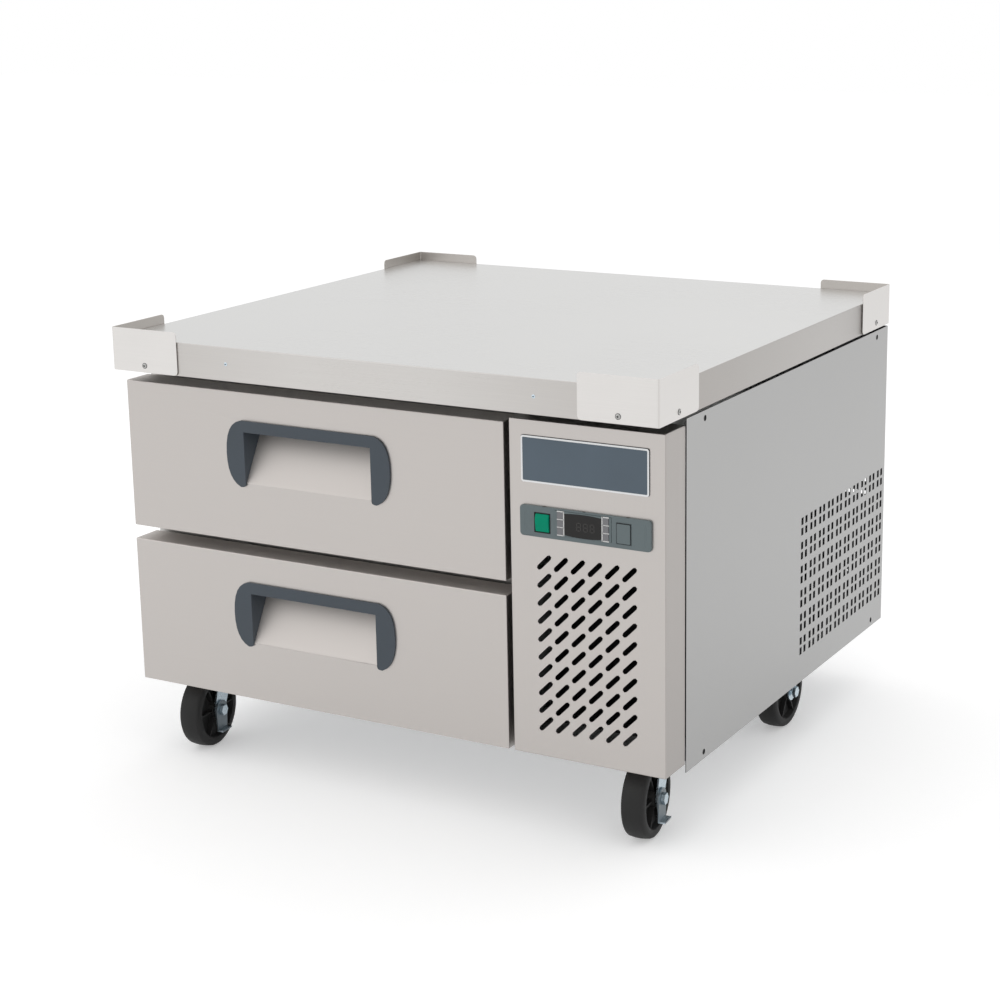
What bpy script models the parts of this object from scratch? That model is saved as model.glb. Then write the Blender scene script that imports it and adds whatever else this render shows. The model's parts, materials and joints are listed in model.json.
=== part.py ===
"""Refrigerated chef base: a low two-drawer cabinet on casters with its cooling machine at the right.

Metres, +Z up. The front looks along -Y, and the origin lies on the floor under the middle of the
worktop. Every size below is set once. Pieces that meet share one named value and a clearance.
"""

import math

import bmesh
import bpy
from mathutils import Matrix, Vector

# The whole appliance
WIDTH = 0.925
DEPTH = 0.870
WORKTOP_TOP = 0.676
CLEARANCE = 0.0003
OVERRUN = 0.002

# Worktop tray
WORKTOP_SHEET = 0.0015
APRON_DROP = 0.051
APRON_HEM = 0.012

# Corner guards
GUARD_SHEET = 0.0015
GUARD_LEG = 0.123
GUARD_RISE = 0.015
GUARD_BEND = 0.003
GUARD_FREE_CORNER = 0.006
GUARD_ARC_STEPS = 4

# Outer panels and the chassis pan
PANEL_SHEET = 0.001
SIDE_SETBACK = 0.001
REAR_SETBACK = 0.0025
PANEL_TOP_GAP = 0.004
SIDE_SKIRT = 0.012
SIDE_FRONT_SETBACK = 0.062
PAN_SHEET = 0.0012
PAN_SKIRT = 0.024
PAN_FRONT_SETBACK = 0.0603

# Vent field and screw holes of the right side panel
VENT_PAIRS_ALONG = 10
VENT_PAIRS_UP = 6
VENT_WIDTH = 0.0085
VENT_HEIGHT = 0.0117
VENT_STEP_ALONG = 0.016
VENT_PAIR_ALONG = 0.0368
VENT_STEP_UP = 0.0165
VENT_PAIR_UP = 0.039
VENT_FROM_REAR = 0.366
VENT_RISE = 0.0515
PANEL_HOLE = 0.009
PANEL_HOLE_SIDES = 8
PANEL_HOLE_FROM_FRONT = 0.059
PANEL_HOLE_FROM_REAR = 0.054
PANEL_HOLE_EDGE = 0.011

# Rear louvres of the machine side, and the cord gland
REAR_SLOT_COLUMNS = 3
REAR_SLOT_ROWS = 8
REAR_SLOT_WIDTH = 0.050
REAR_SLOT_HEIGHT = 0.006
REAR_SLOT_STEP_X = 0.066
REAR_SLOT_STEP_Z = 0.022
REAR_SLOT_FROM_SIDE = 0.1235
REAR_SLOT_DROP = 0.291
GLAND_FROM_SIDE = 0.0625
GLAND_RISE = 0.080
GLAND_NECK = 0.022
GLAND_FLANGE = 0.032
GLAND_BORE = 0.010
GLAND_FLANGE_THICK = 0.0016
GLAND_INSIDE = 0.014
GLAND_SIDES = 16

# Insulated cabinet
CABINET_FASCIA_GAP = 0.0055
CABINET_SETBACK = 0.0713
FACE_SETBACK = 0.059
CABINET_FLOOR_THICK = 0.044
CEILING_DROP = 0.013
CABINET_BACK_WALL = 0.045

# Drawers, lowest first
DRAWER_FOOT_DROP = 0.0285
DRAWER_GAP = 0.021
DRAWER_TOP_GAP = 0.020
DRAWER_SIDE_SETBACK = 0.003
DRAWER_FASCIA_GAP = 0.0085
DRAWER_SETBACK = 0.024
DRAWER_THICK = 0.050
DRAWER_EDGE = 0.0015
OPENING_LAP = 0.024
OPENING_SIDE_LAP = 0.04275
GASKET_INSET = 0.008
GASKET_WIDTH = 0.014

# Handle and finger pocket of each drawer
HANDLE_DROP = 0.043
HANDLE_HEIGHT = 0.101
HANDLE_BAR = 0.0175
HANDLE_HALF = 0.146
HANDLE_TOP_HALF = 0.118
HANDLE_INNER_HALF = 0.113
HANDLE_WIDEST_DROP = 0.051
HANDLE_PROUD = 0.003
HANDLE_WALL = 0.0025
HANDLE_STEPS = 6
HANDLE_TOP_BEND_SHARE = 0.1
HANDLE_TIP_BEND_SHARE = 0.84
HANDLE_TIP_WIDTH = 0.009
HANDLE_TIP_SAG = 0.0015
HANDLE_TIP_RISE = 0.003
HANDLE_TIP_STEPS = 4
POCKET_DEPTH = 0.043
POCKET_HOOK = 0.010
POCKET_LIP = 0.005

# Pan frame carried by each drawer
FRAME_DROP = 0.030
FRAME_HEIGHT = 0.060
FRAME_COVER_GAP = 0.0106
FRAME_SHEET = 0.0015
FRAME_LEDGE = 0.012
FRAME_BAR = 0.020

# Slides
SLIDE_HEIGHT = 0.036
SLIDE_ROOM = 0.0235
SLIDE_END_GAP = 0.0193
SLIDE_DROP = 0.012
SLIDE_LIP = 0.006
SLIDE_WEB = 0.003
SLIDE_SETBACK = 0.081
RACK_POST = 0.020
RACK_POST_THICK = 0.002
RACK_POST_INSET = 0.015
RACK_POST_REAR_INSET = 0.035

# Fascia in front of the machine compartment
FASCIA_WIDTH = 0.242
FASCIA_RIGHT_SETBACK = 0.002
FASCIA_TOP_GAP = 0.013
FASCIA_DEPTH = 0.060
FASCIA_SHEET = 0.0012
GRILLE_COLUMNS = 6
GRILLE_HEAD_MARGIN = 0.020
GRILLE_INSET = 0.0536
GRILLE_RISE = 0.0495
GRILLE_STEP_X = 0.02666
GRILLE_STEP_Z = 0.02648
SLOT_LENGTH = 0.030
SLOT_WIDTH = 0.0075
SLOT_TILT = 45.0
SLOT_END_POINTS = 4

# Control bezel and what it holds
BEZEL_INSET = 0.0182
BEZEL_WIDTH = 0.2036
BEZEL_DROP = 0.1652
BEZEL_HEIGHT = 0.0442
BEZEL_THICK = 0.004
BEZEL_CORNER = 0.005
BEZEL_WINDOW_MARGIN = 0.0018
BEZEL_SIDE_MARGIN = 0.018
SOCKET_DEPTH = 0.013
SOCKET_WALL = 0.0018
SWITCH_INSET = 0.0358
SWITCH_RISE = 0.0212
SWITCH_WIDTH = 0.025
SWITCH_HEIGHT = 0.0285
SWITCH_PROUD = 0.003
SWITCH_BODY = 0.005
SWITCH_DISH = 0.0012
SWITCH_TAPER = 0.0018
BLANK_INSET = 0.1624
BLANK_WIDTH = 0.0226
BLANK_HEIGHT = 0.030
BLANK_PROUD = 0.0012
BLANK_STEM = 0.0095
CONTROLLER_INSET = 0.0998
CONTROLLER_RISE = 0.0243
CONTROLLER_WIDTH = 0.087
CONTROLLER_HEIGHT = 0.035
CONTROLLER_PROUD = 0.0006
CONTROLLER_DEPTH = 0.058
DISPLAY_WIDTH = 0.057
DISPLAY_HEIGHT = 0.029
DISPLAY_SINK = 0.001
KEY_OFFSET = 0.0353
KEY_STEP = 0.0112
KEY_ROWS = 3
KEY_WIDTH = 0.0092
KEY_HEIGHT = 0.0098
KEY_PROUD = 0.0010
KEY_BODY = 0.0016
KEY_TRAVEL = 0.0006

# Cooling machine behind the fascia
CONDENSER_INSET = 0.0135
CONDENSER_WIDTH = 0.216
CONDENSER_SETBACK = 0.086
CONDENSER_DEPTH = 0.040
CONDENSER_HEIGHT = 0.268
CONDENSER_END = 0.004
CONDENSER_END_PROUD = 0.003
SHROUD_DEPTH = 0.030
SHROUD_SHEET = 0.0012
SHROUD_BORE = 0.190
FAN_RING_SIDES = 24
CONDENSER_FAN = 0.180
CONDENSER_FAN_HUB = 0.050
CONDENSER_FAN_DEPTH = 0.022
FAN_BLADES = 5
FAN_BLADE_THICK = 0.0018
FAN_BLADE_ARC = 46.0
FAN_BLADE_START = 7.0
FAN_HUB_SIDES = 16
FAN_SHAFT = 0.008
FAN_SHAFT_GRIP = 0.010
MOTOR_DIAMETER = 0.086
MOTOR_LENGTH = 0.055
MOTOR_ARM_WIDTH = 0.014
MOTOR_ARM_THICK = 0.002
MOTOR_ARM_LAP = 0.010
MOTOR_GAP = 0.0015
COMPRESSOR_FROM_SIDE = 0.1275
COMPRESSOR_FROM_REAR = 0.235
COMPRESSOR_RADIUS = 0.076
COMPRESSOR_HEIGHT = 0.185
COMPRESSOR_FOOT_WIDTH = 0.200
COMPRESSOR_FOOT_DEPTH = 0.120
COMPRESSOR_FOOT_THICK = 0.004
COMPRESSOR_GROMMET = 0.012
COMPRESSOR_GROMMET_HEIGHT = 0.012
COMPRESSOR_SINK = 0.002
COMPRESSOR_SIDES = 20
DOME_STEP_SHARES = (0.35, 0.7)
TERMINAL_WIDTH = 0.050
TERMINAL_HEIGHT = 0.055
TERMINAL_DEPTH = 0.030
TERMINAL_RISE = 0.083
PIPE_RADIUS = 0.004
PIPE_SIDES = 8
PIPE_GAP = 0.0006
PIPE_STUB = 0.010
DRIER_RADIUS = 0.011
DRIER_LENGTH = 0.100
DRIER_CONE = 0.012
LIQUID_INSET = 0.0315
LIQUID_BEND = 0.030
SUCTION_RISE = 0.318

# Evaporator inside the cabinet
EVAPORATOR_SHIFT = 0.00025
EVAPORATOR_WIDTH = 0.380
EVAPORATOR_HEIGHT = 0.170
EVAPORATOR_DEPTH = 0.040
COVER_WIDTH = 0.410
COVER_DEPTH = 0.086
COVER_HEIGHT = 0.200
COVER_SHEET = 0.0012
COVER_BORE = 0.150
EVAPORATOR_FAN = 0.140
EVAPORATOR_FAN_HUB = 0.040
EVAPORATOR_FAN_DEPTH = 0.016
COVER_MOTOR = 0.050
COVER_MOTOR_DEPTH = 0.012
COVER_ARM_WIDTH = 0.012

# Casters
CASTER_HEAD = 0.0292
STEM_FROM_SIDE = 0.070
STEM_FROM_FRONT = 0.096
STEM_FROM_REAR = 0.257
PLATE_WIDTH = 0.092
PLATE_LENGTH = 0.062
PLATE_THICK = 0.003
RACEWAY_RADIUS = 0.027
RACEWAY_HEIGHT = 0.0078
RACEWAY_SIDES = 20
CROWN_RADIUS = 0.028
CROWN_HEIGHT = 0.0095
WHEEL_RADIUS = 0.0605
WHEEL_WIDTH = 0.036
WHEEL_SIDES = 24
WHEEL_SHOULDER = 0.006
WHEEL_RIM_RADIUS = 0.047
WHEEL_WEB_SINK = 0.006
HUB_RADIUS = 0.014
TRAIL = 0.028
FRONT_STEER_DEG = 6.0
FORK_GAP = 0.0015
FORK_SHEET = 0.003
FORK_FOOT_RADIUS = 0.015
FORK_TOP_HALF = 0.0225
FORK_ARC_POINTS = 7
AXLE_RADIUS = 0.005
AXLE_HEAD_RADIUS = 0.009
AXLE_HEAD = 0.006
LEVER_THICK = 0.0025
LEVER_WIDTH = 0.026
LEVER_BOSS_RADIUS = 0.016
LEVER_BOTTOM = 0.027
LEVER_LIP = 0.011
LEVER_ARC_POINTS = 7

# Finishes: colour, roughness, metallic
FINISHES = {
    "satin_steel": ((0.60, 0.59, 0.57, 1.0), 0.34, 1.0),
    "galvanised": ((0.55, 0.56, 0.57, 1.0), 0.45, 1.0),
    "zinc": ((0.62, 0.68, 0.72, 1.0), 0.28, 1.0),
    "aluminium": ((0.72, 0.73, 0.74, 1.0), 0.35, 1.0),
    "liner": ((0.70, 0.70, 0.69, 1.0), 0.40, 0.6),
    "black_machine": ((0.03, 0.03, 0.03, 1.0), 0.45, 0.0),
    "rubber": ((0.02, 0.02, 0.02, 1.0), 0.75, 0.0),
    "slate_plastic": ((0.085, 0.105, 0.125, 1.0), 0.42, 0.0),
    "bezel_plastic": ((0.18, 0.21, 0.23, 1.0), 0.38, 0.0),
    "dark_plastic": ((0.03, 0.028, 0.027, 1.0), 0.30, 0.0),
    "green_plastic": ((0.01, 0.26, 0.16, 1.0), 0.25, 0.0),
}

# Values worked out once from the sizes above
TOWARDS = {"X": "YZX", "Y": "XZY", "Z": "XYZ"}
TRAY_X = WIDTH / 2 - GUARD_SHEET - CLEARANCE
TRAY_Y = DEPTH / 2 - GUARD_SHEET - CLEARANCE
APRON_BOTTOM = WORKTOP_TOP - APRON_DROP
CASTER_HEIGHT = 2 * WHEEL_RADIUS + CASTER_HEAD
PAN_UNDER = CASTER_HEIGHT + CLEARANCE
PAN_TOP = PAN_UNDER + PAN_SHEET
MACHINE_FLOOR = PAN_TOP + CLEARANCE
DRAWER_FOOT = PAN_UNDER - DRAWER_FOOT_DROP
DRAWER_HEIGHT = (APRON_BOTTOM - DRAWER_TOP_GAP - DRAWER_GAP - DRAWER_FOOT) / 2
DRAWER_BOTTOMS = (DRAWER_FOOT, DRAWER_FOOT + DRAWER_HEIGHT + DRAWER_GAP)
DRAWERS = {"lower": DRAWER_BOTTOMS[0], "upper": DRAWER_BOTTOMS[1]}
SIDE_OUT = WIDTH / 2 - SIDE_SETBACK
SIDE_IN = SIDE_OUT - PANEL_SHEET
SIDE_BOTTOM = DRAWER_FOOT - SIDE_SKIRT
REAR_OUT = DEPTH / 2 - REAR_SETBACK
REAR_IN = REAR_OUT - PANEL_SHEET
PANEL_TOP = APRON_BOTTOM - PANEL_TOP_GAP
INNER_X = SIDE_IN - CLEARANCE
INNER_Y = REAR_IN - CLEARANCE
FASCIA_RIGHT = WIDTH / 2 - FASCIA_RIGHT_SETBACK
FASCIA_LEFT = FASCIA_RIGHT - FASCIA_WIDTH
FASCIA_BOTTOM = DRAWER_FOOT
FASCIA_TOP = APRON_BOTTOM - FASCIA_TOP_GAP
DRAWER_LEFT = DRAWER_SIDE_SETBACK - WIDTH / 2
DRAWER_RIGHT = FASCIA_LEFT - DRAWER_FASCIA_GAP
DRAWER_FRONT = DRAWER_SETBACK - DEPTH / 2
DRAWER_MIDDLE = (DRAWER_LEFT + DRAWER_RIGHT) / 2
DRAWER_BACK = DRAWER_FRONT + DRAWER_THICK
SIDE_FRONT = DRAWER_FRONT + SIDE_FRONT_SETBACK
PAN_FRONT = DRAWER_FRONT + PAN_FRONT_SETBACK
FACE_FRONT = DRAWER_FRONT + FACE_SETBACK
FASCIA_BACK = DRAWER_FRONT + FASCIA_DEPTH
CABINET_FRONT = DRAWER_FRONT + CABINET_SETBACK
CABINET_RIGHT = FASCIA_LEFT - CABINET_FASCIA_GAP
CABINET_FLOOR = MACHINE_FLOOR + CABINET_FLOOR_THICK
CABINET_CEILING = APRON_BOTTOM - CEILING_DROP
OPENING_HALF = (DRAWER_RIGHT - DRAWER_LEFT) / 2 - OPENING_SIDE_LAP
ROOM_LEFT = DRAWER_MIDDLE - OPENING_HALF
ROOM_RIGHT = DRAWER_MIDDLE + OPENING_HALF
ROOM_BACK = INNER_Y - CABINET_BACK_WALL
VENT_FIRST_Y = DEPTH / 2 - VENT_FROM_REAR
VENT_FIRST_Z = SIDE_BOTTOM + VENT_RISE
PANEL_HOLE_FRONT_Y = SIDE_FRONT + PANEL_HOLE_FROM_FRONT
PANEL_HOLE_REAR_Y = DEPTH / 2 - PANEL_HOLE_FROM_REAR
REAR_SLOT_X = WIDTH / 2 - REAR_SLOT_FROM_SIDE
REAR_SLOT_Z = PANEL_TOP - REAR_SLOT_DROP
GLAND_X = WIDTH / 2 - GLAND_FROM_SIDE
GLAND_Z = SIDE_BOTTOM + GLAND_RISE
EVAPORATOR_X = DRAWER_MIDDLE - EVAPORATOR_SHIFT
COVER_FRONT = ROOM_BACK - CLEARANCE - COVER_DEPTH
COVER_TOP = CABINET_CEILING - CLEARANCE
COVER_Z = COVER_TOP - COVER_HEIGHT / 2
FRAME_HALF = OPENING_HALF - SLIDE_ROOM
FRAME_FRONT = DRAWER_BACK + CLEARANCE
FRAME_LENGTH = COVER_FRONT - FRAME_COVER_GAP - FRAME_FRONT
SLIDE_THICK = (SLIDE_ROOM - 3 * CLEARANCE) / 2
SLIDE_FRONT = DRAWER_FRONT + SLIDE_SETBACK
SLIDE_BACK = FRAME_FRONT + FRAME_LENGTH - SLIDE_END_GAP
RACK_POST_FRONT = SLIDE_FRONT + RACK_POST_INSET
RACK_POST_REAR = SLIDE_BACK - RACK_POST_REAR_INSET
BEZEL_LEFT = FASCIA_LEFT + BEZEL_INSET
BEZEL_RIGHT = BEZEL_LEFT + BEZEL_WIDTH
BEZEL_BOTTOM = FASCIA_TOP - BEZEL_DROP
BEZEL_TOP = BEZEL_BOTTOM + BEZEL_HEIGHT
BEZEL_BACK = DRAWER_FRONT - CLEARANCE
BEZEL_FACE = BEZEL_BACK - BEZEL_THICK
SWITCH_X = BEZEL_LEFT + SWITCH_INSET
SWITCH_Z = BEZEL_BOTTOM + SWITCH_RISE
BLANK_X = BEZEL_LEFT + BLANK_INSET
CONTROLLER_X = BEZEL_LEFT + CONTROLLER_INSET
CONTROLLER_Z = BEZEL_BOTTOM + CONTROLLER_RISE
GRILLE_FIRST_X = FASCIA_LEFT + GRILLE_INSET
GRILLE_FIRST_Z = FASCIA_BOTTOM + GRILLE_RISE
GRILLE_ROOM = BEZEL_BOTTOM - GRILLE_HEAD_MARGIN - GRILLE_FIRST_Z
GRILLE_ROWS = 1 + math.floor(GRILLE_ROOM / GRILLE_STEP_Z)
CONDENSER_LEFT = FASCIA_LEFT + CONDENSER_INSET
CONDENSER_RIGHT = CONDENSER_LEFT + CONDENSER_WIDTH
CONDENSER_FRONT = DRAWER_FRONT + CONDENSER_SETBACK
CONDENSER_BACK = CONDENSER_FRONT + CONDENSER_DEPTH
SHROUD_FRONT = CONDENSER_BACK + CLEARANCE
SHROUD_BACK = SHROUD_FRONT + SHROUD_DEPTH
FAN_X = (CONDENSER_LEFT + CONDENSER_RIGHT) / 2
FAN_Z = MACHINE_FLOOR + CONDENSER_HEIGHT / 2
COMPRESSOR_X = WIDTH / 2 - COMPRESSOR_FROM_SIDE
COMPRESSOR_Y = DEPTH / 2 - COMPRESSOR_FROM_REAR
TERMINAL_Z = MACHINE_FLOOR + TERMINAL_RISE
LIQUID_X = FASCIA_LEFT + LIQUID_INSET
SUCTION_Z = MACHINE_FLOOR + SUCTION_RISE
STEM_X = WIDTH / 2 - STEM_FROM_SIDE
STEM_FRONT_Y = DRAWER_FRONT + STEM_FROM_FRONT
STEM_REAR_Y = DEPTH / 2 - STEM_FROM_REAR
CASTERS = {
    "front_left": (-STEM_X, STEM_FRONT_Y),
    "front_right": (STEM_X, STEM_FRONT_Y),
    "rear_left": (-STEM_X, STEM_REAR_Y),
    "rear_right": (STEM_X, STEM_REAR_Y),
}


def clear_scene():
    for old in list(bpy.data.objects):
        bpy.data.objects.remove(old, do_unlink=True)


def finish_material(name):
    """A Principled material of the finish with this name, made once."""
    made = bpy.data.materials.get(name)
    if made:
        return made
    colour, roughness, metallic = FINISHES[name]
    made = bpy.data.materials.new(name)
    made.use_nodes = True
    made.diffuse_color = colour
    shader = made.node_tree.nodes["Principled BSDF"]
    shader.inputs["Base Color"].default_value = colour
    shader.inputs["Roughness"].default_value = roughness
    shader.inputs["Metallic"].default_value = metallic
    return made


def from_bmesh(name, shape):
    """An object that holds the bmesh with its faces turned outwards."""
    bmesh.ops.recalc_face_normals(shape, faces=shape.faces)
    mesh = bpy.data.meshes.new(name)
    shape.to_mesh(mesh)
    shape.free()
    made = bpy.data.objects.new(name, mesh)
    bpy.context.scene.collection.objects.link(made)
    return made


def placed(axis, u, v, w):
    """The point whose coordinate along the axis is w, with u and v on the other two axes in order."""
    point = [0.0, 0.0, 0.0]
    for letter, value in zip(TOWARDS[axis], (u, v, w)):
        point["XYZ".index(letter)] = value
    return Vector(point)


def block(name, low, high):
    """A box between two corners."""
    outline = [(low[0], low[1]), (high[0], low[1]), (high[0], high[1]), (low[0], high[1])]
    return prism(name, "Z", low[2], high[2], outline)


def prisms(name, axis, start, end, outlines):
    """Separate outlines carried straight along an axis, in one object."""
    shape = bmesh.new()
    for outline in outlines:
        near = [shape.verts.new(placed(axis, u, v, start)) for u, v in outline]
        far = [shape.verts.new(placed(axis, u, v, end)) for u, v in outline]
        shape.faces.new(near)
        shape.faces.new(far)
        for i in range(len(outline)):
            j = (i + 1) % len(outline)
            shape.faces.new((near[i], near[j], far[j], far[i]))
    return from_bmesh(name, shape)


def prism(name, axis, start, end, outline, holes=()):
    """An outline carried straight along an axis, with any holes punched through it."""
    solid = prisms(name, axis, start, end, [outline])
    if not holes:
        return solid
    low, high = min(start, end), max(start, end)
    return carved(solid, prisms("punch", axis, low - OVERRUN, high + OVERRUN, holes))


def turned(name, axis, centre, profile, sides, closed=False):
    """A profile of (radius, height) points turned about an axis; a closed one leaves a bore."""
    shape = bmesh.new()
    rings = []
    for radius, height in profile:
        if radius == 0:
            rings.append([shape.verts.new(Vector(centre) + placed(axis, 0, 0, height))])
            continue
        ring = []
        for i in range(sides):
            angle = math.tau * i / sides
            offset = placed(axis, radius * math.cos(angle), radius * math.sin(angle), height)
            ring.append(shape.verts.new(Vector(centre) + offset))
        rings.append(ring)
    pairs = list(zip(rings, rings[1:]))
    if closed:
        pairs.append((rings[-1], rings[0]))
    for lower, upper in pairs:
        for i in range(sides):
            j = (i + 1) % sides
            corners = [lower[i % len(lower)], lower[j % len(lower)]]
            corners += [upper[j % len(upper)], upper[i % len(upper)]]
            shape.faces.new(list(dict.fromkeys(corners)))
    return from_bmesh(name, shape)


def disc(name, axis, centre, radius, start, end, sides):
    """A plain cylinder from start to end along the axis, measured from the centre."""
    return turned(name, axis, centre, [(0, start), (radius, start), (radius, end), (0, end)], sides)


def smooth_path(points, steps):
    """Points read off a Catmull-Rom curve through the route's own points."""
    route = [Vector(p) for p in points]
    route = [2 * route[0] - route[1], *route, 2 * route[-1] - route[-2]]
    path = []
    for before, a, b, after in zip(route, route[1:], route[2:], route[3:]):
        for step in range(steps):
            t = step / steps
            bend = (2 * before - 5 * a + 4 * b - after) * t * t
            twist = (3 * a - before - 3 * b + after) * t * t * t
            path.append((2 * a + (b - before) * t + bend + twist) / 2)
    return [*path, route[-2]]


def tube(name, path, radii, sides):
    """A round tube of varying radius along a path, its rings carried without twist."""
    shape = bmesh.new()
    count = len(path)
    along = [(path[min(i + 1, count - 1)] - path[max(i - 1, 0)]).normalized() for i in range(count)]
    side = along[0].orthogonal().normalized()
    rings = []
    for point, forward, radius in zip(path, along, radii):
        side = (side - forward * side.dot(forward)).normalized()
        up = forward.cross(side)
        ring = []
        for i in range(sides):
            angle = math.tau * i / sides
            offset = (side * math.cos(angle) + up * math.sin(angle)) * radius
            ring.append(shape.verts.new(point + offset))
        rings.append(ring)
    for lower, upper in zip(rings, rings[1:]):
        for i in range(sides):
            j = (i + 1) % sides
            shape.faces.new((lower[i], lower[j], upper[j], upper[i]))
    shape.faces.new(rings[0])
    shape.faces.new(rings[-1])
    return from_bmesh(name, shape)


def baked(piece):
    """The piece with its modifiers worked into its mesh."""
    graph = bpy.context.evaluated_depsgraph_get()
    before = piece.data
    mesh = bpy.data.meshes.new_from_object(piece.evaluated_get(graph))
    piece.modifiers.clear()
    piece.data = mesh
    bpy.data.meshes.remove(before)
    return piece


def combine(piece, operation, others):
    """The piece after a Boolean with each of the others, which are used up."""
    for other in others:
        step = piece.modifiers.new(operation.lower(), "BOOLEAN")
        step.operation = operation
        step.solver = "EXACT"
        step.object = other
        baked(piece)
        bpy.data.objects.remove(other, do_unlink=True)
    return piece


def joined(piece, *others):
    return combine(piece, "UNION", others)


def carved(piece, *cutters):
    return combine(piece, "DIFFERENCE", cutters)


def eased(piece, width, segments=1):
    """The piece with its sharp edges broken."""
    step = piece.modifiers.new("ease", "BEVEL")
    step.width = width
    step.segments = segments
    step.limit_method = "ANGLE"
    return baked(piece)


def named(piece, name, finish, pivot=None, round_shape=False):
    """Gives a finished piece its name, its material and, if it moves, an origin on its joint."""
    piece.name = name
    piece.data.name = name
    piece.data.materials.clear()
    piece.data.materials.append(finish_material(finish))
    if pivot is not None:
        piece.data.transform(Matrix.Translation(-Vector(pivot)))
        piece.location = pivot
    if round_shape:
        piece.data.shade_smooth()
        piece.data.set_sharp_from_angle(angle=math.radians(35.0))
    return piece


def carry(parent, *children):
    """Parents pieces to what carries them, in place."""
    bpy.context.view_layer.update()
    for child in children:
        child.parent = parent
        child.matrix_parent_inverse = parent.matrix_world.inverted()


def rectangle(middle_u, middle_v, width, height):
    """The four corners of an upright rectangle about its middle."""
    u, v = width / 2, height / 2
    return [
        (middle_u - u, middle_v - v),
        (middle_u + u, middle_v - v),
        (middle_u + u, middle_v + v),
        (middle_u - u, middle_v + v),
    ]


def rounded_rectangle(low_u, low_v, high_u, high_v, radius, steps):
    """A rectangle whose corners are arcs."""
    outline = []
    for corner, (u, v) in enumerate(
        ((high_u - radius, low_v + radius), (high_u - radius, high_v - radius),
         (low_u + radius, high_v - radius), (low_u + radius, low_v + radius))
    ):
        for step in range(steps + 1):
            angle = math.radians(-90.0 + 90.0 * (corner + step / steps))
            outline.append((u + radius * math.cos(angle), v + radius * math.sin(angle)))
    return outline


def circle(middle_u, middle_v, radius, sides):
    """A regular polygon that stands for a round hole."""
    turns = [math.tau * i / sides for i in range(sides)]
    return [(middle_u + radius * math.cos(a), middle_v + radius * math.sin(a)) for a in turns]


def tray(name, low, high, sheet, open_side):
    """A box shell of sheet, open on one side: '-Y', '+Y' or '-Z'."""
    inner_low = [value + sheet for value in low]
    inner_high = [value - sheet for value in high]
    axis = "XYZ".index(open_side[1])
    if open_side[0] == "-":
        inner_low[axis] = low[axis] - OVERRUN
    else:
        inner_high[axis] = high[axis] + OVERRUN
    return carved(block(name, low, high), block("inside", inner_low, inner_high))


def make_worktop():
    """A folded steel tray: the top sheet, four aprons and a hem turned in under the front one."""
    bend = GUARD_BEND - GUARD_SHEET - CLEARANCE
    outline = rounded_rectangle(-TRAY_X, -TRAY_Y, TRAY_X, TRAY_Y, bend, 2)
    shell = prism("shell", "Z", APRON_BOTTOM, WORKTOP_TOP, outline)
    inner_x, inner_y = TRAY_X - WORKTOP_SHEET, TRAY_Y - WORKTOP_SHEET
    low = (-inner_x, -inner_y, APRON_BOTTOM - OVERRUN)
    inside = block("inside", low, (inner_x, inner_y, WORKTOP_TOP - WORKTOP_SHEET))
    hem_x = TRAY_X - WORKTOP_SHEET / 2
    hem_y = -TRAY_Y + WORKTOP_SHEET / 2
    hem_foot = APRON_BOTTOM + WORKTOP_SHEET / 2
    hem_high = (hem_x, -inner_y + APRON_HEM, hem_foot + WORKTOP_SHEET)
    hem = block("hem", (-hem_x, hem_y, hem_foot), hem_high)
    return named(joined(carved(shell, inside), hem), "worktop", "satin_steel")


def guard_stations():
    """Distances from the free end of a guard's leg, with the sheet's height taken off there."""
    radius = GUARD_FREE_CORNER
    turns = [math.pi / 2 * i / GUARD_ARC_STEPS for i in range(GUARD_ARC_STEPS + 1)]
    return [(radius * (1 - math.cos(a)), radius * (1 - math.sin(a))) for a in turns]


def make_guard(name, across, along):
    """An angle of sheet round one corner of the worktop, its free ends rounded.

    Each station is a cut through the sheet: a point on the outer face, the way in, and how much the
    cut is shortened at its top and foot. The cuts run from one free end round the bend to the other.
    """
    corner_x = across * WIDTH / 2
    corner_y = along * DEPTH / 2
    cuts = []
    for distance, short in guard_stations():
        point = (corner_x - across * (GUARD_LEG - distance), corner_y)
        cuts.append((point, (0.0, -along), short))
    for step in range(GUARD_ARC_STEPS + 1):
        angle = math.pi / 2 * step / GUARD_ARC_STEPS
        way = (across * math.sin(angle), along * math.cos(angle))
        bend_x = corner_x - across * GUARD_BEND
        bend_y = corner_y - along * GUARD_BEND
        point = (bend_x + way[0] * GUARD_BEND, bend_y + way[1] * GUARD_BEND)
        cuts.append((point, (-way[0], -way[1]), 0.0))
    for distance, short in reversed(guard_stations()):
        point = (corner_x, corner_y - along * (GUARD_LEG - distance))
        cuts.append((point, (-across, 0.0), short))
    shape = bmesh.new()
    rings = []
    for (x, y), (in_x, in_y), short in cuts:
        foot = APRON_BOTTOM + short
        top = WORKTOP_TOP + GUARD_RISE - short
        back_x = x + in_x * GUARD_SHEET
        back_y = y + in_y * GUARD_SHEET
        corners = ((x, y, foot), (x, y, top), (back_x, back_y, top), (back_x, back_y, foot))
        rings.append([shape.verts.new(corner) for corner in corners])
    for first, second in zip(rings, rings[1:]):
        for i in range(4):
            j = (i + 1) % 4
            shape.faces.new((first[i], first[j], second[j], second[i]))
    shape.faces.new(rings[0])
    shape.faces.new(rings[-1])
    return named(from_bmesh(name, shape), name, "satin_steel")


def make_guards():
    for depth_name, along in (("front", -1), ("rear", 1)):
        for side_name, across in (("left", -1), ("right", 1)):
            make_guard(f"corner_guard_{depth_name}_{side_name}", across, along)


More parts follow.
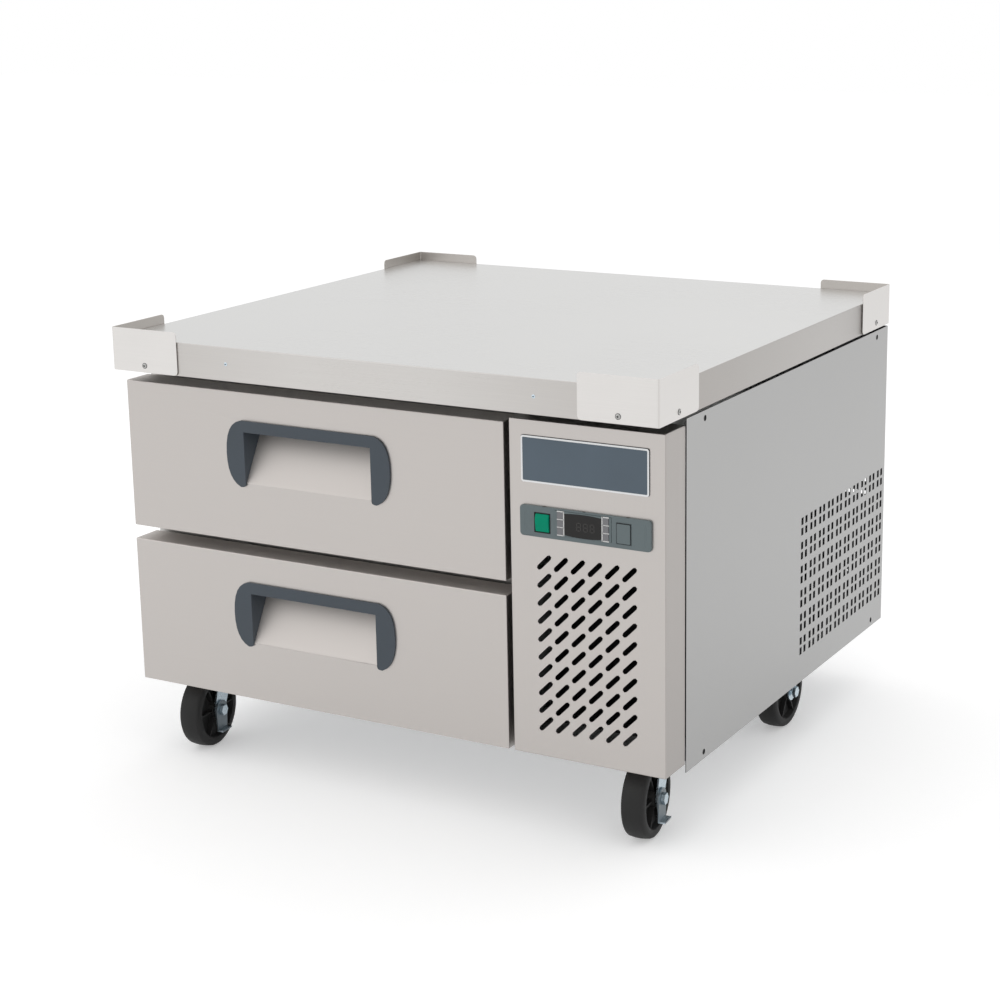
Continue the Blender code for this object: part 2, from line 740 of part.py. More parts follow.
def vent_holes():
    """The right panel's vents: pairs of columns and pairs of rows of upright rectangles."""
    holes = []
    for pair_along in range(VENT_PAIRS_ALONG):
        for side in range(2):
            y = VENT_FIRST_Y + pair_along * VENT_PAIR_ALONG + side * VENT_STEP_ALONG
            for pair_up in range(VENT_PAIRS_UP):
                for level in range(2):
                    z = VENT_FIRST_Z + pair_up * VENT_PAIR_UP + level * VENT_STEP_UP
                    holes.append(rectangle(y, z, VENT_WIDTH, VENT_HEIGHT))
    return holes


def panel_screw_holes(bottom, top):
    """A round hole near each corner of a side panel."""
    holes = []
    for y in (PANEL_HOLE_FRONT_Y, PANEL_HOLE_REAR_Y):
        for z in (bottom + PANEL_HOLE_EDGE, top - PANEL_HOLE_EDGE):
            holes.append(circle(y, z, PANEL_HOLE / 2, PANEL_HOLE_SIDES))
    return holes


def make_side_panel(name, side, holes):
    """A flat side skin that hangs a little below the pan."""
    edges = sorted((side * SIDE_OUT, side * SIDE_IN))
    middle_y = (SIDE_FRONT + REAR_IN) / 2
    middle_z = (SIDE_BOTTOM + PANEL_TOP) / 2
    outline = rectangle(middle_y, middle_z, REAR_IN - SIDE_FRONT, PANEL_TOP - SIDE_BOTTOM)
    return named(prism("skin", "X", *edges, outline, holes), name, "satin_steel")


def make_side_panels():
    screws = panel_screw_holes(SIDE_BOTTOM, PANEL_TOP)
    make_side_panel("left_side_panel", -1, screws)
    make_side_panel("right_side_panel", 1, [*screws, *vent_holes()])


def make_rear_panel():
    """The galvanised back with louvre slots behind the machine and a hole for the cord gland."""
    holes = [circle(GLAND_X, GLAND_Z, GLAND_NECK / 2 + CLEARANCE, GLAND_SIDES)]
    for column in range(REAR_SLOT_COLUMNS):
        for row in range(REAR_SLOT_ROWS):
            x = REAR_SLOT_X + (column - (REAR_SLOT_COLUMNS - 1) / 2) * REAR_SLOT_STEP_X
            z = REAR_SLOT_Z + row * REAR_SLOT_STEP_Z
            holes.append(rectangle(x, z, REAR_SLOT_WIDTH, REAR_SLOT_HEIGHT))
    middle_z = (SIDE_BOTTOM + PANEL_TOP) / 2
    reach = 2 * (SIDE_IN - CLEARANCE)
    outline = rectangle(0.0, middle_z, reach, PANEL_TOP - SIDE_BOTTOM)
    panel = prism("rear_panel", "Y", REAR_IN + CLEARANCE, REAR_OUT, outline, holes)
    return named(panel, "rear_panel", "galvanised")


def make_cord_gland():
    """A flanged bush that lines the cord hole of the rear panel."""
    inside = REAR_IN - GLAND_INSIDE
    outside = REAR_OUT + CLEARANCE
    profile = [
        (GLAND_BORE / 2, inside),
        (GLAND_NECK / 2, inside),
        (GLAND_NECK / 2, outside),
        (GLAND_FLANGE / 2, outside),
        (GLAND_FLANGE / 2, outside + GLAND_FLANGE_THICK),
        (GLAND_BORE / 2, outside + GLAND_FLANGE_THICK),
    ]
    gland = turned("cord_gland", "Y", (GLAND_X, 0, GLAND_Z), profile, GLAND_SIDES, closed=True)
    return named(gland, "cord_gland", "dark_plastic", round_shape=True)


def make_base_pan():
    """The chassis: a steel pan with its skirts turned down, open below."""
    low = (-INNER_X, PAN_FRONT, PAN_TOP - PAN_SKIRT)
    high = (INNER_X, INNER_Y, PAN_TOP)
    return named(tray("base_pan", low, high, PAN_SHEET, "-Z"), "base_pan", "galvanised")


def make_cabinet():
    """The foamed box and its liner: a room open to the front, its crown reaching up into the tray."""
    crown_left = -(TRAY_X - WORKTOP_SHEET - CLEARANCE)
    crown_top = WORKTOP_TOP - WORKTOP_SHEET - CLEARANCE
    body = block(
        "insulated_cabinet",
        (-INNER_X, CABINET_FRONT, MACHINE_FLOOR),
        (CABINET_RIGHT, INNER_Y, APRON_BOTTOM - PANEL_TOP_GAP),
    )
    crown = block(
        "crown",
        (crown_left, FACE_FRONT, PANEL_TOP - OVERRUN),
        (CABINET_RIGHT, INNER_Y, crown_top),
    )
    nose = block(
        "nose",
        (-WIDTH, FACE_FRONT - OVERRUN, PANEL_TOP - OVERRUN * 2),
        (WIDTH, CABINET_FRONT, PANEL_TOP + CLEARANCE),
    )
    room = block(
        "room",
        (ROOM_LEFT, CABINET_FRONT - OVERRUN, CABINET_FLOOR),
        (ROOM_RIGHT, ROOM_BACK, CABINET_CEILING),
    )
    cabinet = carved(joined(body, carved(crown, nose)), room)
    return named(cabinet, "insulated_cabinet", "liner")


def opening_heights():
    """The foot and head of each drawer's opening in the face frame."""
    heights = []
    for bottom in DRAWER_BOTTOMS:
        foot = max(bottom + OPENING_LAP, CABINET_FLOOR)
        heights.append((foot, bottom + DRAWER_HEIGHT - OPENING_LAP))
    return heights


def make_face_frame():
    """The frame round the two drawer openings, which the gaskets close on."""
    left, right = -INNER_X, CABINET_RIGHT
    middle_z = (MACHINE_FLOOR + PANEL_TOP) / 2
    outline = rectangle((left + right) / 2, middle_z, right - left, PANEL_TOP - MACHINE_FLOOR)
    holes = []
    for foot, head in opening_heights():
        holes.append(rectangle(DRAWER_MIDDLE, (foot + head) / 2, 2 * OPENING_HALF, head - foot))
    back = CABINET_FRONT - CLEARANCE
    frame = prism("face_frame", "Y", FACE_FRONT, back, outline, holes)
    return named(frame, "face_frame", "satin_steel")


def pocket_outline(top, margin, hook):
    """The finger pocket seen from the side: behind the bar it hooks up, and its floor slopes out."""
    bar_foot = top - HANDLE_DROP - HANDLE_BAR
    lip = top - HANDLE_DROP - HANDLE_HEIGHT + POCKET_LIP
    front = DRAWER_FRONT - OVERRUN
    deep = DRAWER_FRONT + POCKET_DEPTH + margin
    return [
        (front, bar_foot + hook + margin),
        (deep, bar_foot + hook + margin),
        (deep, bar_foot - margin),
        (DRAWER_FRONT, lip),
        (front, lip),
    ]


def make_drawer_front(level, bottom):
    """A foamed steel front with the finger pocket pressed into it."""
    top = bottom + DRAWER_HEIGHT
    front = block(
        "front",
        (DRAWER_LEFT, DRAWER_FRONT, bottom),
        (DRAWER_RIGHT, DRAWER_BACK, top),
    )
    eased(front, DRAWER_EDGE, 2)
    half = HANDLE_INNER_HALF + HANDLE_WALL + CLEARANCE
    outline = pocket_outline(top, CLEARANCE, POCKET_HOOK + HANDLE_WALL)
    cutter = prism("pocket", "X", DRAWER_MIDDLE - half, DRAWER_MIDDLE + half, outline)
    return named(carved(front, cutter), f"drawer_front_{level}", "satin_steel")


def bow(start, control, end, steps):
    """Points along a quadratic curve, without its last one."""
    points = []
    for step in range(steps):
        t = step / steps
        u = (1 - t) ** 2 * start[0] + 2 * t * (1 - t) * control[0] + t * t * end[0]
        v = (1 - t) ** 2 * start[1] + 2 * t * (1 - t) * control[1] + t * t * end[1]
        points.append((u, v))
    return points


def handle_ear():
    """Half of the handle's outline from the top bar out and down to the round tip, about its middle."""
    top = (HANDLE_TOP_HALF, 0.0)
    wide = (HANDLE_HALF, -HANDLE_WIDEST_DROP)
    heel = (HANDLE_INNER_HALF + HANDLE_TIP_WIDTH, -HANDLE_HEIGHT - HANDLE_TIP_SAG)
    toe = (HANDLE_INNER_HALF, -HANDLE_HEIGHT - HANDLE_TIP_SAG)
    tip = (HANDLE_INNER_HALF, -HANDLE_HEIGHT + HANDLE_TIP_RISE)
    shoulder = (HANDLE_HALF, -HANDLE_WIDEST_DROP * HANDLE_TOP_BEND_SHARE)
    fall = HANDLE_HEIGHT - HANDLE_WIDEST_DROP
    hip = (HANDLE_HALF, -HANDLE_WIDEST_DROP - fall * HANDLE_TIP_BEND_SHARE)
    side = [*bow(top, shoulder, wide, HANDLE_STEPS), *bow(wide, hip, heel, HANDLE_STEPS)]
    return [*side, *bow(heel, toe, tip, HANDLE_TIP_STEPS), tip]


def make_handle(level, bottom):
    """The moulded grip: a top bar with an ear at each end, two cheeks and a ceiling in the pocket."""
    top = bottom + DRAWER_HEIGHT
    grip_top = top - HANDLE_DROP
    ear = handle_ear()
    notch = (HANDLE_INNER_HALF, -HANDLE_BAR)
    right = [(DRAWER_MIDDLE + x, grip_top + z) for x, z in [*ear, notch]]
    left = [(DRAWER_MIDDLE - x, grip_top + z) for x, z in [notch, *reversed(ear)]]
    back = DRAWER_FRONT - CLEARANCE
    face = prism("grip", "Y", back - HANDLE_PROUD, back, [*right, *left])
    outer = HANDLE_INNER_HALF + HANDLE_WALL
    rim = back - HANDLE_PROUD / 2
    shape = pocket_outline(top, 0.0, POCKET_HOOK + HANDLE_WALL)
    cheek_outline = [(max(y, rim), z) for y, z in shape]
    cheeks = []
    for side in (-1, 1):
        edges = sorted((DRAWER_MIDDLE + side * outer, DRAWER_MIDDLE + side * HANDLE_INNER_HALF))
        cheeks.append(prism("cheek", "X", edges[0], edges[1], lip_clear(cheek_outline)))
    ceiling_z = grip_top - HANDLE_BAR + POCKET_HOOK
    ceiling = block(
        "ceiling",
        (DRAWER_MIDDLE - outer, rim, ceiling_z),
        (DRAWER_MIDDLE + outer, DRAWER_FRONT + POCKET_DEPTH, ceiling_z + HANDLE_WALL),
    )
    handle = joined(face, *cheeks, ceiling)
    return named(handle, f"drawer_handle_{level}", "slate_plastic")


def lip_clear(outline):
    """The cheek's outline lifted off the pocket's sloping floor by the clearance."""
    top_front, top_deep, floor_deep, lip, lip_front = outline
    lift = CLEARANCE * 2
    raised_lip = (lip[0], lip[1] + lift)
    return [
        top_front,
        top_deep,
        (floor_deep[0], floor_deep[1] + lift),
        raised_lip,
        (lip_front[0], raised_lip[1]),
    ]


def make_gasket(level, bottom):
    """The magnetic seal: a soft ring on the back of the drawer front."""
    low_x = DRAWER_LEFT + GASKET_INSET
    high_x = DRAWER_RIGHT - GASKET_INSET
    low_z = bottom + GASKET_INSET
    high_z = bottom + DRAWER_HEIGHT - GASKET_INSET
    width, height = high_x - low_x, high_z - low_z
    middle = ((low_x + high_x) / 2, (low_z + high_z) / 2)
    inner = rectangle(*middle, width - 2 * GASKET_WIDTH, height - 2 * GASKET_WIDTH)
    start = DRAWER_BACK + CLEARANCE
    end = FACE_FRONT - CLEARANCE
    ring = prism("gasket", "Y", start, end, rectangle(*middle, width, height), [inner])
    return named(ring, f"drawer_gasket_{level}", "rubber")


def make_pan_frame(level, bottom):
    """The drawer's inner frame: four sheet walls, a ledge that pans hang on and a crossbar."""
    top = bottom + DRAWER_HEIGHT - FRAME_DROP
    start = FRAME_FRONT
    low = (DRAWER_MIDDLE - FRAME_HALF, start, top - FRAME_HEIGHT)
    high = (DRAWER_MIDDLE + FRAME_HALF, start + FRAME_LENGTH, top)
    frame = tray("frame", low, high, FRAME_SHEET, "-Z")
    window = (FRAME_LENGTH - 2 * FRAME_LEDGE - FRAME_BAR) / 2
    cutters = []
    for index in range(2):
        window_start = start + FRAME_LEDGE + index * (window + FRAME_BAR)
        window_low = (low[0] + FRAME_LEDGE, window_start, top - FRAME_SHEET - OVERRUN)
        window_high = (high[0] - FRAME_LEDGE, window_start + window, top + OVERRUN)
        cutters.append(block("window", window_low, window_high))
    return named(carved(frame, *cutters), f"drawer_pan_frame_{level}", "satin_steel")


def slide_top(bottom):
    """The height of the slides' upper edge for the drawer that starts at this height."""
    return bottom + DRAWER_HEIGHT - FRAME_DROP - SLIDE_DROP


def channel_outline(back, mouth, top):
    """A C section seen along Y: a web at x = back, and two lips that reach out to x = mouth."""
    web = back + math.copysign(SLIDE_WEB, mouth - back)
    foot = top - SLIDE_HEIGHT
    return [
        (back, foot),
        (mouth, foot),
        (mouth, foot + SLIDE_LIP),
        (web, foot + SLIDE_LIP),
        (web, top - SLIDE_LIP),
        (mouth, top - SLIDE_LIP),
        (mouth, top),
        (back, top),
    ]


def make_slide_member(level, side_name, side, bottom):
    """The middle member of a telescopic slide, between the rack and the pan frame."""
    outer = DRAWER_MIDDLE + side * (FRAME_HALF + CLEARANCE + SLIDE_THICK)
    inner = DRAWER_MIDDLE + side * (FRAME_HALF + CLEARANCE)
    outline = channel_outline(inner, outer, slide_top(bottom))
    member = prism("member", "Y", SLIDE_FRONT, SLIDE_BACK, outline)
    return named(member, f"slide_member_{level}_{side_name}", "galvanised")


def make_slide_rack(side_name, side):
    """Two uprights on the cabinet's side wall that carry the fixed slide channels."""
    wall = DRAWER_MIDDLE + side * (OPENING_HALF - CLEARANCE)
    face = wall - side * SLIDE_THICK
    post_face = wall - side * RACK_POST_THICK
    foot = CABINET_FLOOR + CLEARANCE
    pieces = []
    for bottom in DRAWER_BOTTOMS:
        outline = channel_outline(wall, face, slide_top(bottom))
        rail = prism("rail", "Y", SLIDE_FRONT, SLIDE_BACK, outline)
        pieces.append(rail)
    for start in (RACK_POST_FRONT, RACK_POST_REAR):
        edges = sorted((wall, post_face))
        low = (edges[0], start, foot)
        high = (edges[1], start + RACK_POST, slide_top(DRAWER_BOTTOMS[1]))
        pieces.append(block("post", low, high))
    return named(joined(*pieces), f"slide_rack_{side_name}", "galvanised")


def make_drawers():
    """Both drawers with their slides; each drawer's pieces follow one empty on its front."""
    for level, bottom in DRAWERS.items():
        pull = bpy.data.objects.new(f"drawer_{level}_pull", None)
        pull.location = (DRAWER_MIDDLE, DRAWER_FRONT, bottom + DRAWER_HEIGHT / 2)
        bpy.context.scene.collection.objects.link(pull)
        carry(
            pull,
            make_drawer_front(level, bottom),
            make_handle(level, bottom),
            make_gasket(level, bottom),
            make_pan_frame(level, bottom),
        )
        make_slide_member(level, "left", -1, bottom)
        make_slide_member(level, "right", 1, bottom)
    make_slide_rack("left", -1)
    make_slide_rack("right", 1)


def grille_slot(x, z):
    """One slanted slot with round ends."""
    radius = SLOT_WIDTH / 2
    reach = SLOT_LENGTH / 2 - radius
    tilt = math.radians(SLOT_TILT)
    points = []
    for end in range(2):
        for step in range(SLOT_END_POINTS):
            angle = math.pi * end - math.pi / 2 + math.pi * step / (SLOT_END_POINTS - 1)
            u = reach * (1 - 2 * end) + radius * math.cos(angle)
            v = radius * math.sin(angle)
            along = u * math.cos(tilt) - v * math.sin(tilt)
            up = u * math.sin(tilt) + v * math.cos(tilt)
            points.append((x + along, z + up))
    return points


def bezel_cutout():
    """The opening in the fascia behind the control bezel."""
    width = BEZEL_RIGHT - BEZEL_LEFT - 2 * BEZEL_SIDE_MARGIN
    height = BEZEL_TOP - BEZEL_BOTTOM - 2 * BEZEL_WINDOW_MARGIN
    middle = ((BEZEL_LEFT + BEZEL_RIGHT) / 2, (BEZEL_BOTTOM + BEZEL_TOP) / 2)
    return rectangle(*middle, width, height)


def make_fascia():
    """The steel cover of the machine compartment, folded back on four sides, with its grille."""
    width, height = FASCIA_RIGHT - FASCIA_LEFT, FASCIA_TOP - FASCIA_BOTTOM
    middle = ((FASCIA_LEFT + FASCIA_RIGHT) / 2, (FASCIA_BOTTOM + FASCIA_TOP) / 2)
    holes = [bezel_cutout()]
    for column in range(GRILLE_COLUMNS):
        for row in range(GRILLE_ROWS):
            x = GRILLE_FIRST_X + column * GRILLE_STEP_X
            z = GRILLE_FIRST_Z + row * GRILLE_STEP_Z
            holes.append(grille_slot(x, z))
    back = DRAWER_FRONT + FASCIA_SHEET
    face = prism("fascia", "Y", DRAWER_FRONT, back, rectangle(*middle, width, height), holes)
    inner = rectangle(*middle, width - 2 * FASCIA_SHEET, height - 2 * FASCIA_SHEET)
    lap = DRAWER_FRONT + FASCIA_SHEET / 2
    rim = prism("rim", "Y", lap, FASCIA_BACK, rectangle(*middle, width, height), [inner])
    return named(joined(face, rim), "fascia_panel", "satin_steel")


def socket(middle, width, height, depth):
    """A pocket's outer walls behind the bezel and the cutter that hollows them."""
    outer = rectangle(*middle, width + 2 * SOCKET_WALL, height + 2 * SOCKET_WALL)
    inner = rectangle(*middle, width, height)
    walls = prism("walls", "Y", BEZEL_BACK - BEZEL_THICK / 2, BEZEL_BACK + depth, outer)
    hollow = prism("hollow", "Y", BEZEL_FACE - OVERRUN, BEZEL_BACK + depth - SOCKET_WALL, inner)
    return walls, hollow


def make_bezel():
    """The moulded control bezel with sockets for the switch and the blank, and a controller hole."""
    outline = rounded_rectangle(BEZEL_LEFT, BEZEL_BOTTOM, BEZEL_RIGHT, BEZEL_TOP, BEZEL_CORNER, 3)
    plate = prism("bezel", "Y", BEZEL_FACE, BEZEL_BACK, outline)
    room = 2 * CLEARANCE
    switch = socket((SWITCH_X, SWITCH_Z), SWITCH_WIDTH + room, SWITCH_HEIGHT + room, SOCKET_DEPTH)
    blank = socket((BLANK_X, SWITCH_Z), BLANK_WIDTH + room, BLANK_HEIGHT + room, SOCKET_DEPTH)
    window = rectangle(CONTROLLER_X, CONTROLLER_Z, CONTROLLER_WIDTH + room, CONTROLLER_HEIGHT + room)
    hole = prism("hole", "Y", BEZEL_FACE - OVERRUN, BEZEL_BACK + OVERRUN, window)
    bezel = carved(joined(plate, switch[0], blank[0]), switch[1], blank[1], hole)
    return named(bezel, "control_bezel", "bezel_plastic")


def key_places():
    """The name and centre of each controller key."""
    places = {}
    for column, side in (("left", -1), ("right", 1)):
        for row, level in enumerate(("bottom", "middle", "top")[:KEY_ROWS]):
            rise = (row - (KEY_ROWS - 1) / 2) * KEY_STEP
            places[f"{column}_{level}"] = (CONTROLLER_X + side * KEY_OFFSET, CONTROLLER_Z + rise)
    return places


def make_controller():
    """The digital thermostat: a box behind the bezel with a sunk display and six key pockets."""
    face = BEZEL_FACE - CONTROLLER_PROUD
    box = rectangle(CONTROLLER_X, CONTROLLER_Z, CONTROLLER_WIDTH, CONTROLLER_HEIGHT)
    body = prism("controller", "Y", face, BEZEL_BACK + CONTROLLER_DEPTH, box)
    screen = rectangle(CONTROLLER_X, CONTROLLER_Z, DISPLAY_WIDTH, DISPLAY_HEIGHT)
    cutters = [prism("screen", "Y", face - OVERRUN, face + DISPLAY_SINK, screen)]
    depth = KEY_BODY + KEY_TRAVEL + CLEARANCE
    for x, z in key_places().values():
        hole = rectangle(x, z, KEY_WIDTH + 2 * CLEARANCE, KEY_HEIGHT + 2 * CLEARANCE)
        cutters.append(prism("pocket", "Y", face - OVERRUN, face + depth, hole))
    return named(carved(body, *cutters), "temperature_controller", "dark_plastic")


def make_keys():
    """Six keys that press in against their springs."""
    face = BEZEL_FACE - CONTROLLER_PROUD
    for place, (x, z) in key_places().items():
        start = face - KEY_PROUD
        end = face + KEY_BODY
        key = prism("key", "Y", start, end, rectangle(x, z, KEY_WIDTH, KEY_HEIGHT))
        named(key, f"controller_key_{place}", "bezel_plastic", pivot=(x, start, z))


def make_switch():
    """The rocker: a dished green cap that tips about a pin across its middle."""
    half = SWITCH_HEIGHT / 2
    face = BEZEL_FACE - SWITCH_PROUD
    back = BEZEL_BACK + SWITCH_BODY
    outline = [
        (face, SWITCH_Z + half - SWITCH_TAPER),
        (face + SWITCH_DISH, SWITCH_Z),
        (face, SWITCH_Z - half + SWITCH_TAPER),
        (BEZEL_BACK, SWITCH_Z - half + CLEARANCE),
        (back, SWITCH_Z - half + SWITCH_TAPER),
        (back, SWITCH_Z + half - SWITCH_TAPER),
        (BEZEL_BACK, SWITCH_Z + half - CLEARANCE),
    ]
    left = SWITCH_X - SWITCH_WIDTH / 2
    right = SWITCH_X + SWITCH_WIDTH / 2
    rocker = prism("rocker", "X", left, right, outline)
    pivot = (SWITCH_X, BEZEL_BACK, SWITCH_Z)
    return named(rocker, "rocker_switch", "green_plastic", pivot=pivot)


def make_blank():
    """The snap-in cover of the unused switch place."""
    start = BEZEL_FACE - BLANK_PROUD
    outline = rectangle(BLANK_X, SWITCH_Z, BLANK_WIDTH, BLANK_HEIGHT)
    blank = prism("blank", "Y", start, BEZEL_BACK + BLANK_STEM, outline)
    return named(blank, "blank_cover", "slate_plastic")


def make_condenser():
    """The finned coil between its two end plates."""
    plates = []
    for left in (CONDENSER_LEFT, CONDENSER_RIGHT - CONDENSER_END):
        low = (left, CONDENSER_FRONT, MACHINE_FLOOR)
        high = (left + CONDENSER_END, CONDENSER_BACK, MACHINE_FLOOR + CONDENSER_HEIGHT)
        plates.append(block("end", low, high))
    inset = CONDENSER_END_PROUD
    core = block(
        "core",
        (CONDENSER_LEFT + CONDENSER_END / 2, CONDENSER_FRONT + inset, MACHINE_FLOOR + inset),
        (
            CONDENSER_RIGHT - CONDENSER_END / 2,
            CONDENSER_BACK - inset,
            MACHINE_FLOOR + CONDENSER_HEIGHT - inset,
        ),
    )
    return named(joined(core, *plates), "condenser_coil", "aluminium")


def make_shroud():
    """The sheet funnel that ties the condenser to its fan."""
    low = (CONDENSER_LEFT, SHROUD_FRONT, MACHINE_FLOOR)
    high = (CONDENSER_RIGHT, SHROUD_BACK, MACHINE_FLOOR + CONDENSER_HEIGHT)
    shell = tray("shroud", low, high, SHROUD_SHEET, "-Y")
    start = SHROUD_BACK - SHROUD_SHEET - OVERRUN
    end = SHROUD_BACK + OVERRUN
    bore = disc("bore", "Y", (FAN_X, 0, FAN_Z), SHROUD_BORE / 2, start, end, FAN_RING_SIDES)
    return named(carved(shell, bore), "condenser_fan_shroud", "galvanised")


def fan_blade(hub, tip, depth, turn):
    """One pitched blade: a thin slab that climbs along the shaft as it goes round the hub."""
    half_arc = math.radians(FAN_BLADE_ARC) / 2
    climb = depth / 2 - FAN_BLADE_THICK
    shape = bmesh.new()
    corners = []
    for radius in (hub, tip):
        for way in (-1, 1):
            angle = turn + way * half_arc
            x = radius * math.cos(angle)
            z = radius * math.sin(angle)
            for face in (-1, 1):
                y = way * climb + face * FAN_BLADE_THICK / 2
                corners.append(shape.verts.new((x, y, z)))
    a, b, c, d, e, f, g, h = corners
    for side in ((a, b, d, c), (e, f, h, g), (a, b, f, e), (c, d, h, g)):
        shape.faces.new(side)
    for side in ((a, e, g), (a, g, c), (b, f, h), (b, h, d)):
        shape.faces.new(side)
    return from_bmesh("blade", shape)


def make_fan(name, centre, diameter, hub_diameter, depth, finish, bored):
    """A hub with blades; the hub takes the motor shaft in a blind bore."""
    hub_radius = hub_diameter / 2
    reach = depth / 2
    middle = (0.0, 0.0, 0.0)
    hub = disc("hub", "Y", middle, hub_radius, -reach, reach, FAN_HUB_SIDES)
    blades = []
    for index in range(FAN_BLADES):
        turn = math.tau * index / FAN_BLADES + math.radians(FAN_BLADE_START)
        blades.append(fan_blade(hub_radius - OVERRUN, diameter / 2, depth, turn))
    fan = joined(hub, *blades)
    if bored:
        radius = FAN_SHAFT / 2 + CLEARANCE
        grip = reach - FAN_SHAFT_GRIP
        fan = carved(fan, disc("bore", "Y", middle, radius, grip, reach + OVERRUN, FAN_HUB_SIDES))
    fan.location = centre
    return named(fan, name, finish, round_shape=True)


def make_condenser_fan():
    """The fan stands inside the shroud, with its hub against the motor's shaft."""
    centre = (FAN_X, SHROUD_BACK - MOTOR_GAP - CONDENSER_FAN_DEPTH / 2, FAN_Z)
    return make_fan(
        "condenser_fan",
        centre,
        CONDENSER_FAN,
        CONDENSER_FAN_HUB,
        CONDENSER_FAN_DEPTH,
        "black_machine",
        True,
    )


def make_fan_motor():
    """The fan motor with three arms that screw to the back of the shroud, and its shaft."""
    centre = (FAN_X, 0, FAN_Z)
    start = SHROUD_BACK + CLEARANCE
    body = disc("body", "Y", centre, MOTOR_DIAMETER / 2, start, start + MOTOR_LENGTH, FAN_HUB_SIDES)
    reach = SHROUD_BORE / 2 + MOTOR_ARM_LAP
    arms = []
    for index in range(3):
        arm = block(
            "arm",
            (-MOTOR_ARM_WIDTH / 2, start, 0),
            (MOTOR_ARM_WIDTH / 2, start + MOTOR_ARM_THICK, reach),
        )
        turn = Matrix.Rotation(math.tau * index / 3, 4, "Y")
        arm.data.transform(Matrix.Translation((FAN_X, 0, FAN_Z)) @ turn)
        arms.append(arm)
    tip = SHROUD_BACK - MOTOR_GAP - FAN_SHAFT_GRIP + CLEARANCE
    shaft = disc("shaft", "Y", centre, FAN_SHAFT / 2, tip, start + OVERRUN, FAN_HUB_SIDES)
    return named(joined(body, *arms, shaft), "condenser_fan_motor", "black_machine")


def pipe_path(route):
    """A smooth path through the route whose last stretch is straight."""
    *bends, last = [Vector(point) for point in route]
    back = (bends[-1] - last).normalized() * PIPE_STUB
    return [*smooth_path([*bends, last + back], 4), last]


def plain_pipe(name, route):
    path = pipe_path(route)
    return tube(name, path, [PIPE_RADIUS] * len(path), PIPE_SIDES)


def compressor_pot():
    """The domed steel pot of the compressor, turned about its upright axis."""
    foot = MACHINE_FLOOR + COMPRESSOR_GROMMET_HEIGHT + COMPRESSOR_FOOT_THICK - COMPRESSOR_SINK
    radius = COMPRESSOR_RADIUS
    dome = radius / 2
    top = foot + COMPRESSOR_HEIGHT
    profile = [(0, foot), (radius - dome / 2, foot), (radius, foot + dome / 2), (radius, top - dome)]
    for share in DOME_STEP_SHARES:
        angle = math.pi / 2 * share
        profile.append((radius * math.cos(angle), top - dome + dome * math.sin(angle)))
    profile.append((0, top))
    return turned("pot", "Z", (COMPRESSOR_X, COMPRESSOR_Y, 0), profile, COMPRESSOR_SIDES)


def compressor_feet():
    """The foot plate and its four rubber grommets."""
    plate_foot = MACHINE_FLOOR + COMPRESSOR_GROMMET_HEIGHT
    half_x, half_y = COMPRESSOR_FOOT_WIDTH / 2, COMPRESSOR_FOOT_DEPTH / 2
    plate = block(
        "plate",
        (COMPRESSOR_X - half_x, COMPRESSOR_Y - half_y, plate_foot),
        (COMPRESSOR_X + half_x, COMPRESSOR_Y + half_y, plate_foot + COMPRESSOR_FOOT_THICK),
    )
    feet = [plate]
    for across in (-1, 1):
        for along in (-1, 1):
            x = COMPRESSOR_X + across * (half_x - COMPRESSOR_GROMMET)
            y = COMPRESSOR_Y + along * (half_y - COMPRESSOR_GROMMET)
            top = plate_foot + COMPRESSOR_SINK
            radius = COMPRESSOR_GROMMET - OVERRUN
            feet.append(disc("foot", "Z", (x, y, 0), radius, MACHINE_FLOOR, top, PIPE_SIDES))
    return feet


def compressor_pipes():
    """The discharge pipe to the condenser and the suction pipe from the cabinet wall."""
    pot_edge = COMPRESSOR_RADIUS - OVERRUN * 2
    front = COMPRESSOR_Y - pot_edge
    low_z = MACHINE_FLOOR + COMPRESSOR_HEIGHT / 2
    end_x = CONDENSER_RIGHT - CONDENSER_END * 4
    end_y = CONDENSER_BACK
    over = MACHINE_FLOOR + CONDENSER_HEIGHT + CONDENSER_DEPTH / 2
    discharge = [
        (COMPRESSOR_X, front, low_z),
        (COMPRESSOR_X, front - COMPRESSOR_RADIUS, low_z),
        (end_x, front - 2 * COMPRESSOR_RADIUS, over),
        (end_x, end_y + CONDENSER_DEPTH * 2, over + CONDENSER_DEPTH / 2),
        (end_x, (CONDENSER_FRONT + CONDENSER_BACK) / 2, over + CONDENSER_DEPTH / 2),
        (
            end_x,
            (CONDENSER_FRONT + CONDENSER_BACK) / 2,
            MACHINE_FLOOR + CONDENSER_HEIGHT - CONDENSER_END_PROUD + PIPE_GAP,
        ),
    ]
    wall_x = CABINET_RIGHT + PIPE_GAP
    left = COMPRESSOR_X - pot_edge
    suction = [
        (left, COMPRESSOR_Y, low_z),
        (left - COMPRESSOR_RADIUS / 3, COMPRESSOR_Y, low_z),
        (left - COMPRESSOR_RADIUS / 3, COMPRESSOR_Y, SUCTION_Z - COMPRESSOR_RADIUS / 3),
        (wall_x + PIPE_STUB, COMPRESSOR_Y, SUCTION_Z),
        (wall_x, COMPRESSOR_Y, SUCTION_Z),
    ]
    return plain_pipe("discharge", discharge), plain_pipe("suction", suction)


